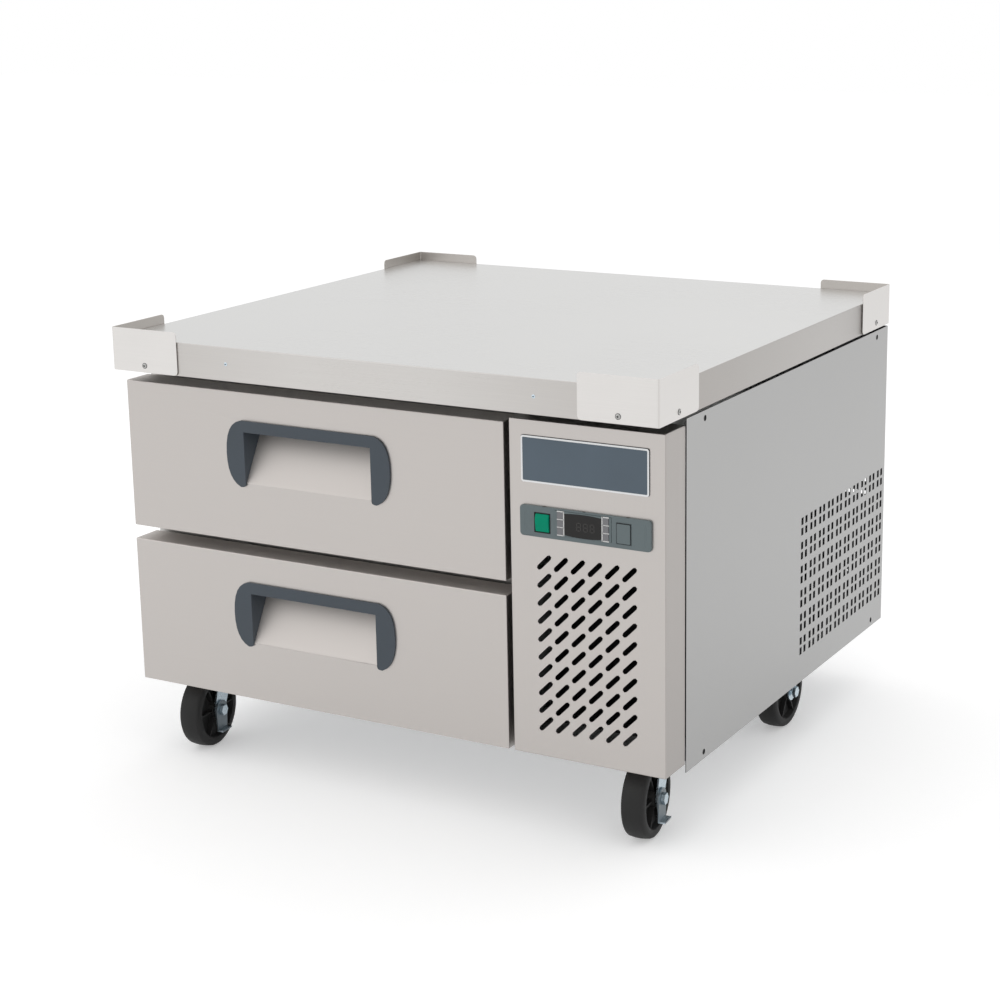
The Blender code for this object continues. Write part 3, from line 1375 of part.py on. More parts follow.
def make_compressor():
    """The brazed compressor: pot, feet, terminal box and its two pipes."""
    half = TERMINAL_WIDTH / 2
    right = COMPRESSOR_X + COMPRESSOR_RADIUS + TERMINAL_DEPTH - COMPRESSOR_SINK * 4
    terminal = block(
        "terminal",
        (COMPRESSOR_X + COMPRESSOR_RADIUS / 2, COMPRESSOR_Y - half, TERMINAL_Z),
        (right, COMPRESSOR_Y + half, TERMINAL_Z + TERMINAL_HEIGHT),
    )
    whole = joined(compressor_pot(), *compressor_feet(), terminal, *compressor_pipes())
    return named(whole, "compressor", "black_machine", round_shape=True)


def make_liquid_line():
    """The copper line from the condenser through the filter drier to the cabinet wall."""
    middle_y = (CONDENSER_FRONT + CONDENSER_BACK) / 2
    drier_y = SHROUD_BACK + 2 * LIQUID_BEND
    drier_end = drier_y + DRIER_LENGTH
    wall_x = CABINET_RIGHT + PIPE_GAP
    outlet_z = MACHINE_FLOOR + CONDENSER_HEIGHT - CONDENSER_END_PROUD + PIPE_GAP
    rise = outlet_z + LIQUID_BEND
    lead = pipe_path(
        [
            (LIQUID_X, drier_y, rise),
            (LIQUID_X, drier_y - LIQUID_BEND, rise),
            (LIQUID_X, middle_y + PIPE_STUB, rise),
            (LIQUID_X, middle_y, rise - PIPE_STUB),
            (LIQUID_X, middle_y, outlet_z),
        ]
    )
    tail = pipe_path(
        [
            (LIQUID_X, drier_end, rise),
            (LIQUID_X, drier_end + LIQUID_BEND, rise),
            (wall_x + PIPE_STUB * 2, drier_end + 2 * LIQUID_BEND, rise),
            (wall_x, drier_end + 2 * LIQUID_BEND, rise),
        ]
    )
    body = [
        Vector((LIQUID_X, drier_y + DRIER_CONE, rise)),
        Vector((LIQUID_X, drier_end - DRIER_CONE, rise)),
    ]
    radii = [PIPE_RADIUS] * len(lead) + [DRIER_RADIUS] * 2 + [PIPE_RADIUS] * len(tail)
    line = tube("line", [*reversed(lead), *body, *tail], radii, PIPE_SIDES)
    return named(line, "liquid_line_with_drier", "zinc", round_shape=True)


def make_machine():
    make_condenser()
    make_shroud()
    make_condenser_fan()
    make_fan_motor()
    make_compressor()
    make_liquid_line()


def make_evaporator():
    """The cold coil on the cabinet's back wall."""
    half = EVAPORATOR_WIDTH / 2
    back = ROOM_BACK - CLEARANCE
    low = (EVAPORATOR_X - half, back - EVAPORATOR_DEPTH, COVER_Z - EVAPORATOR_HEIGHT / 2)
    high = (EVAPORATOR_X + half, back, COVER_Z + EVAPORATOR_HEIGHT / 2)
    return named(block("evaporator", low, high), "evaporator_coil", "aluminium")


def make_evaporator_cover():
    """The cover over the coil, with a fan ring and the motor held by arms across it."""
    half = COVER_WIDTH / 2
    low = (EVAPORATOR_X - half, COVER_FRONT, COVER_TOP - COVER_HEIGHT)
    high = (EVAPORATOR_X + half, ROOM_BACK - CLEARANCE, COVER_TOP)
    shell = tray("cover", low, high, COVER_SHEET, "+Y")
    centre = (EVAPORATOR_X, COVER_FRONT, COVER_Z)
    bore = disc("bore", "Y", centre, COVER_BORE / 2, -OVERRUN, COVER_SHEET + OVERRUN, FAN_RING_SIDES)
    shell = carved(shell, bore)
    motor = disc("motor", "Y", centre, COVER_MOTOR / 2, 0, COVER_MOTOR_DEPTH, FAN_HUB_SIDES)
    arms = []
    reach = COVER_BORE / 2 + OVERRUN * 2
    for index in range(2):
        arm = block(
            "arm",
            (-reach, 0, -COVER_ARM_WIDTH / 2),
            (reach, COVER_SHEET, COVER_ARM_WIDTH / 2),
        )
        turn = Matrix.Rotation(math.pi / 2 * index, 4, "Y")
        arm.data.transform(Matrix.Translation(centre) @ turn)
        arms.append(arm)
    tip = COVER_MOTOR_DEPTH + MOTOR_GAP + FAN_SHAFT_GRIP - CLEARANCE
    shaft = disc("shaft", "Y", centre, FAN_SHAFT / 2, 0, tip, FAN_HUB_SIDES)
    return named(joined(shell, *arms, motor, shaft), "evaporator_cover", "liner")


def make_evaporator_fan():
    """The fan behind the cover's ring, turned round so that its bore takes the shaft."""
    depth = EVAPORATOR_FAN_DEPTH
    y = COVER_FRONT + COVER_MOTOR_DEPTH + MOTOR_GAP + depth / 2
    centre = (EVAPORATOR_X, y, COVER_Z)
    fan = make_fan("fan", centre, EVAPORATOR_FAN, EVAPORATOR_FAN_HUB, depth, "black_machine", True)
    fan.data.transform(Matrix.Rotation(math.pi, 4, "Z"))
    fan.name = "evaporator_fan"
    return fan


def make_caster_plate(place, x, y):
    """The mounting plate and the fixed half of the swivel bearing."""
    top = CASTER_HEIGHT
    plate = block(
        "plate",
        (x - PLATE_WIDTH / 2, y - PLATE_LENGTH / 2, top - PLATE_THICK),
        (x + PLATE_WIDTH / 2, y + PLATE_LENGTH / 2, top),
    )
    start = top - PLATE_THICK - RACEWAY_HEIGHT
    ring = disc("ring", "Z", (x, y, 0), RACEWAY_RADIUS, start, top - PLATE_THICK / 2, RACEWAY_SIDES)
    return named(joined(plate, ring), f"caster_plate_{place}", "zinc", round_shape=True)


def fork_leg_outline(stem_y, axle_y, top):
    """A fork leg seen from the side: wide at the crown, with a round foot about the axle."""
    outline = [(stem_y - FORK_TOP_HALF, top), (stem_y + FORK_TOP_HALF, top)]
    for step in range(FORK_ARC_POINTS):
        angle = -math.pi * step / (FORK_ARC_POINTS - 1)
        y = axle_y + FORK_FOOT_RADIUS * math.cos(angle)
        z = WHEEL_RADIUS + FORK_FOOT_RADIUS * math.sin(angle)
        outline.append((y, z))
    return outline


def make_fork(place, x, stem_y, axle_y):
    """The swivelling fork: a crown under the bearing, two legs and the axle bolt."""
    crown_top = CASTER_HEIGHT - PLATE_THICK - RACEWAY_HEIGHT - CLEARANCE
    crown_foot = crown_top - CROWN_HEIGHT
    centre = (x, stem_y, 0)
    crown = disc("crown", "Z", centre, CROWN_RADIUS, crown_foot, crown_top, RACEWAY_SIDES)
    inner = WHEEL_WIDTH / 2 + FORK_GAP
    outer = inner + FORK_SHEET
    yoke_reach = inner + FORK_SHEET / 2
    yoke_half = FORK_TOP_HALF - FORK_SHEET
    yoke_foot = crown_foot - FORK_SHEET / 3
    yoke = block(
        "yoke",
        (x - yoke_reach, stem_y - yoke_half, yoke_foot),
        (x + yoke_reach, stem_y + yoke_half, yoke_foot + FORK_SHEET),
    )
    outline = fork_leg_outline(stem_y, axle_y, crown_foot + FORK_SHEET)
    legs = [
        prism("leg", "X", x - outer, x - inner, outline),
        prism("leg", "X", x + inner, x + outer, outline),
    ]
    axle_centre = (x, axle_y, WHEEL_RADIUS)
    head = outer + AXLE_HEAD + LEVER_THICK
    grip = head - AXLE_HEAD / 2
    bolt = disc("bolt", "X", axle_centre, AXLE_RADIUS, -grip, grip, FAN_HUB_SIDES)
    heads = []
    for side in (-1, 1):
        start = side * (outer + LEVER_THICK + 2 * CLEARANCE)
        end = side * head
        ends = sorted((start, end))
        heads.append(disc("head", "X", axle_centre, AXLE_HEAD_RADIUS, *ends, 6))
    fork = joined(crown, yoke, *legs, bolt, *heads)
    pivot = (x, stem_y, crown_top)
    return named(fork, f"caster_fork_{place}", "zinc", pivot=pivot, round_shape=True)


def make_wheel(place, x, axle_y):
    """The rubber wheel: a flat tread, shoulders, a sunk web and a bored hub.

    The tread is a polygon whose flats lie at the wheel's radius, so one flat rests on the floor.
    """
    half = WHEEL_WIDTH / 2
    web = half - WHEEL_WEB_SINK
    corner = WHEEL_RADIUS / math.cos(math.pi / WHEEL_SIDES)
    bore = AXLE_RADIUS + CLEARANCE
    side = [
        (bore, half),
        (HUB_RADIUS, half),
        (HUB_RADIUS, web),
        (WHEEL_RIM_RADIUS - WHEEL_WEB_SINK / 2, web),
        (WHEEL_RIM_RADIUS, half),
        (corner, half - WHEEL_SHOULDER),
    ]
    profile = [*side, *[(r, -h) for r, h in reversed(side)]]
    centre = (x, axle_y, WHEEL_RADIUS)
    wheel = turned("wheel", "X", centre, profile, WHEEL_SIDES, closed=True)
    turn = Matrix.Rotation(math.pi / WHEEL_SIDES, 4, "X")
    about = Matrix.Translation(centre)
    wheel.data.transform(about @ turn @ about.inverted())
    return named(wheel, f"caster_wheel_{place}", "rubber", pivot=centre, round_shape=True)


def make_lever(place, x, axle_y):
    """The stamped brake lever: a plate on the axle bolt that hangs beside the wheel, with a lip."""
    start = x + WHEEL_WIDTH / 2 + FORK_GAP + FORK_SHEET + CLEARANCE
    half = LEVER_WIDTH / 2
    outline = [(axle_y - half, LEVER_BOTTOM), (axle_y + half, LEVER_BOTTOM)]
    for step in range(LEVER_ARC_POINTS):
        angle = math.pi * step / (LEVER_ARC_POINTS - 1)
        y = axle_y + LEVER_BOSS_RADIUS * math.cos(angle)
        outline.append((y, WHEEL_RADIUS + LEVER_BOSS_RADIUS * math.sin(angle)))
    bore = circle(axle_y, WHEEL_RADIUS, AXLE_RADIUS + CLEARANCE, FAN_HUB_SIDES)
    plate = prism("plate", "X", start, start + LEVER_THICK, outline, [bore])
    lip = block(
        "lip",
        (start, axle_y - half, LEVER_BOTTOM),
        (start + LEVER_LIP, axle_y + half, LEVER_BOTTOM + LEVER_THICK),
    )
    pivot = (start, axle_y, WHEEL_RADIUS)
    return named(joined(plate, lip), f"brake_lever_{place}", "zinc", pivot=pivot)


def steer(stem, angle, *pieces):
    """Turns finished pieces together about the upright line through a caster's stem."""
    turn = Matrix.Rotation(angle, 3, "Z")
    for piece in pieces:
        piece.data.transform(turn.to_4x4())
        piece.location = stem + turn @ (piece.location - stem)


def make_casters():
    """Four swivel casters; the front two have brakes. The wheels trail to the front.

    The front wheels stand a little turned to the right, as the stand was last pushed.
    """
    for place, (x, stem_y) in CASTERS.items():
        axle_y = stem_y - TRAIL
        make_caster_plate(place, x, stem_y)
        fork = make_fork(place, x, stem_y, axle_y)
        carried = [make_wheel(place, x, axle_y)]
        if place.startswith("front"):
            carried.append(make_lever(place, x, axle_y))
            steer(Vector((x, stem_y, 0)), math.radians(FRONT_STEER_DEG), fork, *carried)
        carry(fork, *carried)


def main():
    clear_scene()
    make_worktop()
    make_guards()
    make_side_panels()
    make_rear_panel()
    make_cord_gland()
    make_base_pan()
    make_cabinet()
    make_face_frame()
    make_drawers()
    make_fascia()
    make_bezel()
    make_controller()
    make_keys()
    make_switch()
    make_blank()
    make_machine()
    make_evaporator()
    make_evaporator_cover()
    make_evaporator_fan()
    make_casters()


main()
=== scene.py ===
"""Looks of the refrigerated chef base: finishes, small fasteners, soft edges, stage and camera.

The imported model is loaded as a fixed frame, in metres, +Z up, with the front towards -Y. Every new
piece is a surface worked out on a grid of points, or a copy of a solid with its edges rounded.
"""

import json
import math

import bmesh
import bpy
import numpy as np
from bpy.props import FloatProperty, FloatVectorProperty, IntProperty, PointerProperty
from mathutils import Matrix, Vector


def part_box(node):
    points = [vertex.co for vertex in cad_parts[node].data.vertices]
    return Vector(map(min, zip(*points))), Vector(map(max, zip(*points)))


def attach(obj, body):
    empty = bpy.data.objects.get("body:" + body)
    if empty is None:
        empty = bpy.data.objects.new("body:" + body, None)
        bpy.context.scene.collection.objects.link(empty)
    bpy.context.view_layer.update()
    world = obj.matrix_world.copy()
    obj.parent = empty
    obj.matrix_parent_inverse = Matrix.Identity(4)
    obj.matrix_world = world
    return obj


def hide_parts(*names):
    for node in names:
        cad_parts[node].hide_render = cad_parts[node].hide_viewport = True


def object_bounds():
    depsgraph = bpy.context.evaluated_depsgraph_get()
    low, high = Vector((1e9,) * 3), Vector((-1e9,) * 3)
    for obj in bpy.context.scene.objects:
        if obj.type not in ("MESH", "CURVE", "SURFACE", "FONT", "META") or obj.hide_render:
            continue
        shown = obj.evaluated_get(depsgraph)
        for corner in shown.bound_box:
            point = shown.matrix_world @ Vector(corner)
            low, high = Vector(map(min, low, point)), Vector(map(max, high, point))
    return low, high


bl_info = {
    "name": "Refrigerated Chef Base",
    "version": (1, 0, 0),
    "blender": (4, 5, 0),
    "location": "View3D > Sidebar > Chef Base",
    "description": "Dresses the packed chef base with its finishes, fasteners and studio stage",
    "category": "Object",
}

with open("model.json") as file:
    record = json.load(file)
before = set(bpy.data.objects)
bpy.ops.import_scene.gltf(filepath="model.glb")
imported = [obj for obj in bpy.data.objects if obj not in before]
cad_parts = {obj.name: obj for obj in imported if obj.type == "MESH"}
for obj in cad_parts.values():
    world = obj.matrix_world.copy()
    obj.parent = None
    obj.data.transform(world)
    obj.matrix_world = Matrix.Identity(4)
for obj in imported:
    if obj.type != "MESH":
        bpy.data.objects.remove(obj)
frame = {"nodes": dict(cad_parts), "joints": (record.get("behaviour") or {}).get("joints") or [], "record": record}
CAD_BOX = [list(corner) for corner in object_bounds()]
RECORD = frame["record"]
BODY_OF = {node: body for body, nodes in RECORD["behaviour"]["bodies"].items() for node in nodes}
SLOT_OF = {part["node"]: part["material_slot"] for part in RECORD["subparts"]}
CORNERS = ("front_left", "front_right", "rear_left", "rear_right")
LEVELS = ("lower", "upper")
KEY_ROWS = ("bottom", "middle", "top")
X, Y, Z = range(3)
MM = 0.001
TINY = 1e-6
SHARP_ANGLE = math.radians(35.0)
PLANE_ANGLE = math.radians(8.0)
FLAT_ANGLE = math.radians(1.0)


def length(name, description, default):
    """A length property in metres."""
    return FloatProperty(name=name, description=description, default=default, min=0.0,
                         subtype="DISTANCE", unit="LENGTH", precision=4)


def colour(name, description, default):
    """A colour property, linear."""
    return FloatVectorProperty(name=name, description=description, default=default, size=3,
                               min=0.0, max=1.0, subtype="COLOR")


class ChefBaseSizes(bpy.types.PropertyGroup):
    """Sizes of the details that the frame leaves to the scene."""

    worktop_roll: length("Worktop roll", "Radius of the worktop's rolled upper edge", 0.0030)
    guard_edge: length("Guard edge", "Rounding of the corner guards' cut edges", 0.0004)
    guard_fold: length("Guard fold", "Radius of the corner guards' upright fold", 0.0026)
    front_edge: length("Front edge", "Rounding of the drawer fronts' pocket edges", 0.0006)
    pocket_roll: length("Pocket roll", "Radius where the finger pocket runs out", 0.0016)
    fascia_fold: length("Fascia fold", "Radius of the fascia's folded edges", 0.0018)
    handle_edge: length("Handle edge", "Rounding of the moulded handle", 0.0011)
    bezel_edge: length("Bezel edge", "Rounding of the control bezel's rim", 0.0024)
    rocker_edge: length("Rocker edge", "Rounding of the rocker switch", 0.0012)
    key_edge: length("Key edge", "Rounding of the controller keys", 0.0004)
    forged_edge: length("Stamped edge", "Rounding of the casters' stamped steel", 0.0005)
    screw_head: length("Screw head", "Diameter of the guards' dome screws", 0.0076)
    rivet_head: length("Rivet head", "Diameter of the apron's small rivets", 0.0056)
    hex_head: length("Bolt head", "Width of the caster bolts across flats", 0.0085)
    badge_width: length("Badge width", "Width of the bare name plate", 0.1977)
    badge_height: length("Badge height", "Height of the bare name plate", 0.0662)
    badge_thick: length("Badge thickness", "Thickness of the bare name plate", 0.0012)
    badge_border: length("Badge border", "Width of the plate's pale border", 0.0026)
    display_width: length("Display width", "Width of the dark display window", 0.0575)
    display_height: length("Display height", "Height of the dark display window", 0.0335)
    display_bow: length("Display bow", "How far the window's upper and lower edges bow", 0.0016)
    marking_width: length("Marking width", "Width of the pale lines round the keys", 0.0018)
    fin_pitch: length("Fin pitch", "Distance between the fins of the coils", 0.0024)
    tread_crown: length("Tread crown", "How much lower the tread is at its shoulders", 0.0012)
    wheel_steps: IntProperty(name="Wheel steps", description="Points round a wheel", default=72, min=24)


class ChefBaseColours(bpy.types.PropertyGroup):
    """Colours of the finishes, linear."""

    worktop: colour("Worktop", "Worktop steel", (0.598, 0.596, 0.586))
    guard: colour("Guards", "Corner guard steel", (0.675, 0.658, 0.641))
    front: colour("Fronts", "Drawer front and fascia steel", (0.515, 0.487, 0.467))
    # Darker than the fronts, as painted shade on the side panels.
    side: colour("Sides", "Side panel steel", (0.405, 0.404, 0.401))
    inside: colour("Inside", "Drawer frames and face frame", (0.50, 0.49, 0.475))
    galvanised: colour("Galvanised", "Galvanised sheet", (0.50, 0.51, 0.52))
    zinc: colour("Zinc", "Bright zinc plate", (0.55, 0.64, 0.70))
    liner: colour("Liner", "Cabinet liner", (0.62, 0.62, 0.61))
    handle: colour("Handle", "Slate moulded plastic", (0.042, 0.056, 0.072))
    bezel: colour("Bezel", "Blue-grey moulded plastic", (0.118, 0.151, 0.159))
    key: colour("Keys", "Controller keys", (0.185, 0.185, 0.195))
    rocker: colour("Rocker", "Green rocker", (0.002, 0.270, 0.155))
    display: colour("Display", "Dark display window", (0.0045, 0.0038, 0.0034))
    segment: colour("Segments", "Unlit display segments", (0.030, 0.027, 0.025))
    marking: colour("Markings", "Pale printed lines", (0.74, 0.74, 0.73))
    badge: colour("Badge", "Slate field of the bare plate", (0.076, 0.108, 0.140))
    border: colour("Badge border", "Pale border of the bare plate", (0.86, 0.87, 0.88))
    rubber: colour("Rubber", "Caster tyre", (0.009, 0.009, 0.009))
    seal: colour("Seal", "Drawer gasket", (0.012, 0.012, 0.012))
    enamel: colour("Enamel", "Black machine enamel", (0.018, 0.018, 0.019))
    # Black plastic, also used for black pieces that are painted shade in holes, slots, a groove and round screw
    # heads.
    plastic: colour("Black plastic", "Black plastic and dark hollows", (0.0072, 0.0072, 0.0076))
    screw: colour("Screws", "Screw and rivet steel", (0.40, 0.40, 0.39))
    fins: colour("Fins", "Evaporator fins", (0.44, 0.45, 0.46))
    # Nearly black: partly the fins' dark coating, partly painted shade for the dark space seen through the
    # fascia's slots.
    condenser: colour("Condenser", "Black-coated condenser fins", (0.035, 0.035, 0.037))
    copper: colour("Copper", "Copper tube", (0.62, 0.30, 0.18))
    dust: colour("Dust", "Settled dust", (0.32, 0.31, 0.29))
    floor: colour("Floor", "Studio floor", (0.86, 0.86, 0.86))


def sizes():
    return bpy.context.scene.chef_base_sizes


def colours():
    return bpy.context.scene.chef_base_colours


def joint_of(node):
    """The joint that the node's body turns or slides on."""
    return next(joint for joint in frame["joints"] if joint["child"] == BODY_OF[node])


def outer_corner(node, corner):
    """Which way a named corner lies along X and along Y, and the node's outermost x and y there."""
    low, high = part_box(node)
    ways = (-1 if corner.endswith("left") else 1, -1 if corner.startswith("front") else 1)
    return ways, [low[axis] if way < 0 else high[axis] for axis, way in zip((X, Y), ways)]


def grid_patch(grid, wrap_rows=False, wrap_columns=False, capped=False):
    """Points and faces of a surface given as a grid of points.

    Face (i, j) joins points (i, j), (i, j+1), (i+1, j+1) and (i+1, j). A wrapped direction joins its
    last line to its first, and capped closes the first and last rows with a face each.
    """
    rows, columns = grid.shape[:2]
    index = np.arange(rows * columns).reshape(rows, columns)
    if wrap_rows:
        index = np.vstack([index, index[:1]])
    if wrap_columns:
        index = np.hstack([index, index[:, :1]])
    quads = np.stack([index[:-1, :-1], index[:-1, 1:], index[1:, 1:], index[1:, :-1]], axis=-1)
    faces = quads.reshape(-1, 4).tolist()
    if capped:
        faces += [index[0, :columns][::-1].tolist(), index[-1, :columns].tolist()]
    return grid.reshape(-1, 3), faces


def across(along):
    """The two axes other than this one, in order."""
    return [axis for axis in (X, Y, Z) if axis != along]


def turned_patch(profile, centre, along, steps, wrap=False):
    """A profile of (radius, height) turned about an axis.

    Point (i, j) lies at centre + height_i along the axis + radius_i (cos a_j, sin a_j) across it, with
    a_j = 2 pi j / steps. A profile that starts and ends on the axis closes at its poles.
    """
    profile = np.asarray(profile, float)
    angle = np.arange(steps) * (math.tau / steps)
    grid = np.empty((len(profile), steps, 3))
    for axis, share in zip(across(along), (np.cos(angle), np.sin(angle))):
        grid[..., axis] = centre[axis] + profile[:, :1] * share
    grid[..., along] = centre[along] + profile[:, 1:]
    return grid_patch(grid, wrap_rows=wrap, wrap_columns=True)


def carried_patch(outline, start, end, along=Y):
    """An outline across an axis, carried along it from start to end, with both ends capped."""
    outline = np.asarray(outline, float)
    grid = np.empty((2, len(outline), 3))
    grid[..., across(along)] = outline
    grid[0, :, along], grid[1, :, along] = start, end
    return grid_patch(grid, wrap_columns=True, capped=True)


def box_patch(low, high):
    """A box between two corners: a square across Z, carried from its foot to its top."""
    low, high = np.asarray(low, float), np.asarray(high, float)
    square = np.array([[0, 0], [1, 0], [1, 1], [0, 1]])
    return carried_patch(low[:Z] + square * (high - low)[:Z], low[Z], high[Z], Z)


def plate_patch(centre, width, height, radius, start, end):
    """A plate that lies across Y, from start to end, whose four corners are arcs.

    With w from (1, 1) round to (1, -1), each arc is centre + w (size / 2 - radius) + radius (cos a, sin a).
    """
    angle = np.linspace(0.0, math.pi / 2, 5)
    arcs = []
    for quarter, way in enumerate(((1, 1), (-1, 1), (-1, -1), (1, -1))):
        turn = angle + quarter * math.pi / 2
        middle = np.array(centre) + np.array(way) * (np.array([width, height]) / 2 - radius)
        arcs.append(middle + radius * np.stack([np.cos(turn), np.sin(turn)], 1))
    return carried_patch(np.vstack(arcs), start, end)


def pipe_patch(path, radii, steps, reference):
    """A round tube along a path of points.

    With t the unit tangent and r a fixed reference, the ring at each point is
    p + radius (s cos a + (t x s) sin a), where s is r made square to t.
    """
    path, reference = np.asarray(path, float), np.asarray(reference, float)
    tangent = np.gradient(path, axis=0)
    tangent /= np.linalg.norm(tangent, axis=1, keepdims=True)
    side = reference - tangent * (tangent @ reference)[:, None]
    side /= np.linalg.norm(side, axis=1, keepdims=True)
    angle = np.arange(steps)[:, None] * (math.tau / steps)
    ring = side[:, None] * np.cos(angle) + np.cross(tangent, side)[:, None] * np.sin(angle)
    radii = np.broadcast_to(np.asarray(radii, float), (len(path),))
    return grid_patch(path[:, None] + ring * radii[:, None, None], wrap_columns=True, capped=True)


def rounded_route(corners, radius, steps=7):
    """Points along straight runs whose corners are arcs.

    Each corner c between directions a and b becomes the quadratic curve from c - a r to c + b r.
    """
    corners = np.asarray(corners, float)
    share = np.linspace(0.0, 1.0, steps)[:, None]
    parts = [corners[:1]]
    for before, corner, after in zip(corners, corners[1:], corners[2:]):
        start = corner + (before - corner) / np.linalg.norm(before - corner) * radius
        end = corner + (after - corner) / np.linalg.norm(after - corner) * radius
        parts.append((1 - share) ** 2 * start + 2 * share * (1 - share) * corner + share ** 2 * end)
    return np.vstack([*parts, corners[-1:]])


def ring_patch(low, high, profile):
    """A profile carried round a rectangle in the XZ plane with mitred corners.

    A profile point (inset, depth) gives the rectangle drawn in by inset, at y = depth.
    """
    profile = np.asarray(profile, float)
    inwards = np.array([[1, 1], [-1, 1], [-1, -1], [1, -1]])
    corners = np.array([[low[0], low[1]], [high[0], low[1]], [high[0], high[1]], [low[0], high[1]]])
    grid = np.empty((len(profile), 4, 3))
    grid[..., across(Y)] = corners + profile[:, :1, None] * inwards
    grid[..., Y] = profile[:, 1:]
    return grid_patch(grid, wrap_rows=True, wrap_columns=True)


def linked(name, mesh, shape):
    """An object in the scene whose mesh takes this shape."""
    shape.to_mesh(mesh)
    shape.free()
    made = bpy.data.objects.new(name, mesh)
    bpy.context.scene.collection.objects.link(made)
    return made


def mesh_object(name, patches):
    """One object from several patches, doubles merged and faces turned outwards."""
    points, faces, start = [], [], 0
    for patch_points, patch_faces in patches:
        points.append(patch_points)
        faces += [[corner + start for corner in face] for face in patch_faces]
        start += len(patch_points)
    mesh = bpy.data.meshes.new(name)
    mesh.from_pydata(np.vstack(points), [], faces)
    shape = bmesh.new()
    shape.from_mesh(mesh)
    bmesh.ops.remove_doubles(shape, verts=shape.verts, dist=TINY)
    bmesh.ops.recalc_face_normals(shape, faces=shape.faces)
    return linked(name, mesh, shape)


def finished(piece, finish, body, slot, *replaced, sharp_from=SHARP_ANGLE):
    """Gives a piece its material and its body and hides the nodes that it stands for; slot is not used."""
    piece.data.materials.clear()
    piece.data.materials.append(material(finish))
    piece.data.shade_smooth()
    piece.data.set_sharp_from_angle(angle=sharp_from)
    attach(piece, body)
    if replaced:
        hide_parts(*replaced)


def cabinet_piece(name, patches, finish="Black plastic", slot="dark_plastic"):
    """A finished piece from patches, fixed to the cabinet."""
    finished(mesh_object(name, patches), finish, "cabinet", slot)


def stand_in(node, name, patches, finish):
    """A finished piece from patches, which stands for a solid, on its body."""
    finished(mesh_object(name, patches), finish, BODY_OF[node], SLOT_OF[node], node)


def dress(finish, *nodes):
    """Puts a material on solids whose shape is right as it is."""
    for node in nodes:
        slots = frame["nodes"][node].data.materials
        slots.clear()
        slots.append(material(finish))


def round_edges(piece, width, segments, limit="ANGLE", sharp_from=SHARP_ANGLE):
    roll = piece.modifiers.new("Rounded edges", "BEVEL")
    roll.width = width
    roll.segments = segments
    roll.limit_method = limit
    roll.angle_limit = sharp_from
    roll.harden_normals = True


def softened(node, name, finish, width, segments=2, weights=None, sharp_from=SHARP_ANGLE):
    """A copy of a solid with its edges rounded, which stands for the solid.

    The copy's triangles are merged into flat faces first. weights takes the two ends of every edge
    and gives each edge a share of the width; without it all sharp edges get the whole width. An edge
    counts as sharp where its faces meet at more than sharp_from.
    """
    mesh = frame["nodes"][node].data.copy()
    mesh.name = name
    shape = bmesh.new()
    shape.from_mesh(mesh)
    bmesh.ops.remove_doubles(shape, verts=shape.verts, dist=TINY)
    bmesh.ops.dissolve_limit(shape, angle_limit=FLAT_ANGLE, verts=shape.verts, edges=shape.edges)
    if weights:
        layer = shape.edges.layers.float.new("bevel_weight_edge")
        ends = np.array([[edge.verts[0].co, edge.verts[1].co] for edge in shape.edges])
        sharp = [len(edge.link_faces) == 2 and edge.calc_face_angle() > sharp_from for edge in shape.edges]
        for edge, weight in zip(shape.edges, weights(ends[:, 0], ends[:, 1]) * np.array(sharp)):
            edge[layer] = float(weight)
    copy = linked(name, mesh, shape)
    round_edges(copy, width, segments, "WEIGHT" if weights else "ANGLE", sharp_from)
    finished(copy, finish, BODY_OF[node], SLOT_OF[node], node, sharp_from=sharp_from)


def both(first, second, axis, value):
    """True for the edges whose two ends lie at this value along this axis."""
    near = MM / 20
    return (np.abs(first[:, axis] - value) < near) & (np.abs(second[:, axis] - value) < near)


def add(tree, kind, inputs, **settings):
    """A shader node with its settings, and plain values or links on its inputs."""
    made = tree.nodes.new(f"ShaderNode{kind}")
    for name, value in settings.items():
        setattr(made, name, value)
    for label, value in inputs.items():
        if isinstance(value, bpy.types.NodeSocket):
            tree.links.new(value, made.inputs[label])
        else:
            made.inputs[label].default_value = value
    return made


def coordinates(tree, output="Object"):
    return add(tree, "TexCoord", {}).outputs[output]


def noise(tree, vector, scale, detail=2.0, roughness=0.5):
    values = {"Vector": vector, "Scale": scale, "Detail": detail, "Roughness": roughness}
    return add(tree, "TexNoise", values).outputs["Fac"]


def arithmetic(tree, operation, first, second):
    return add(tree, "Math", {0: first, 1: second}, operation=operation).outputs[0]


def ramp(tree, value, start, end, low=0.0, high=1.0):
    """low up to start, high from end on, and straight between them."""
    ends = {"From Min": start, "From Max": end, "To Min": low, "To Max": high}
    return add(tree, "MapRange", {"Value": value, **ends}).outputs["Result"]


def spread(tree, value, low=0.0, high=1.0):
    """The middle half of a 0 to 1 value, where noise mostly lies, spread from low to high."""
    return ramp(tree, value, 0.25, 0.75, low, high)


def blended(tree, mask, first, second, blend_type="MIX"):
    """The first colour where the mask is 0, and the second, or their product, where it is 1."""
    inputs = {"Factor": mask}
    for label, tone in (("A", first), ("B", second)):
        inputs[label] = (*tone, 1.0) if isinstance(tone, tuple) else tone
    return add(tree, "Mix", inputs, data_type="RGBA", blend_type=blend_type).outputs["Result"]


def brushed_grain(group, entry):
    """Tone, roughness and height of fine noise along the sheet with broad cloudy smudges over it."""
    fine = noise(group, entry["Vector"], 1.0, 3.0, 0.7)
    clouds = noise(group, coordinates(group), entry["Cloud Scale"], 3.0, 0.55)
    shares = [arithmetic(group, "MULTIPLY", part, share) for part, share in ((fine, 0.55), (clouds, 0.45))]
    tone = arithmetic(group, "ADD", *shares)
    return tone, spread(group, tone, entry["Rough Low"], entry["Rough High"]), fine


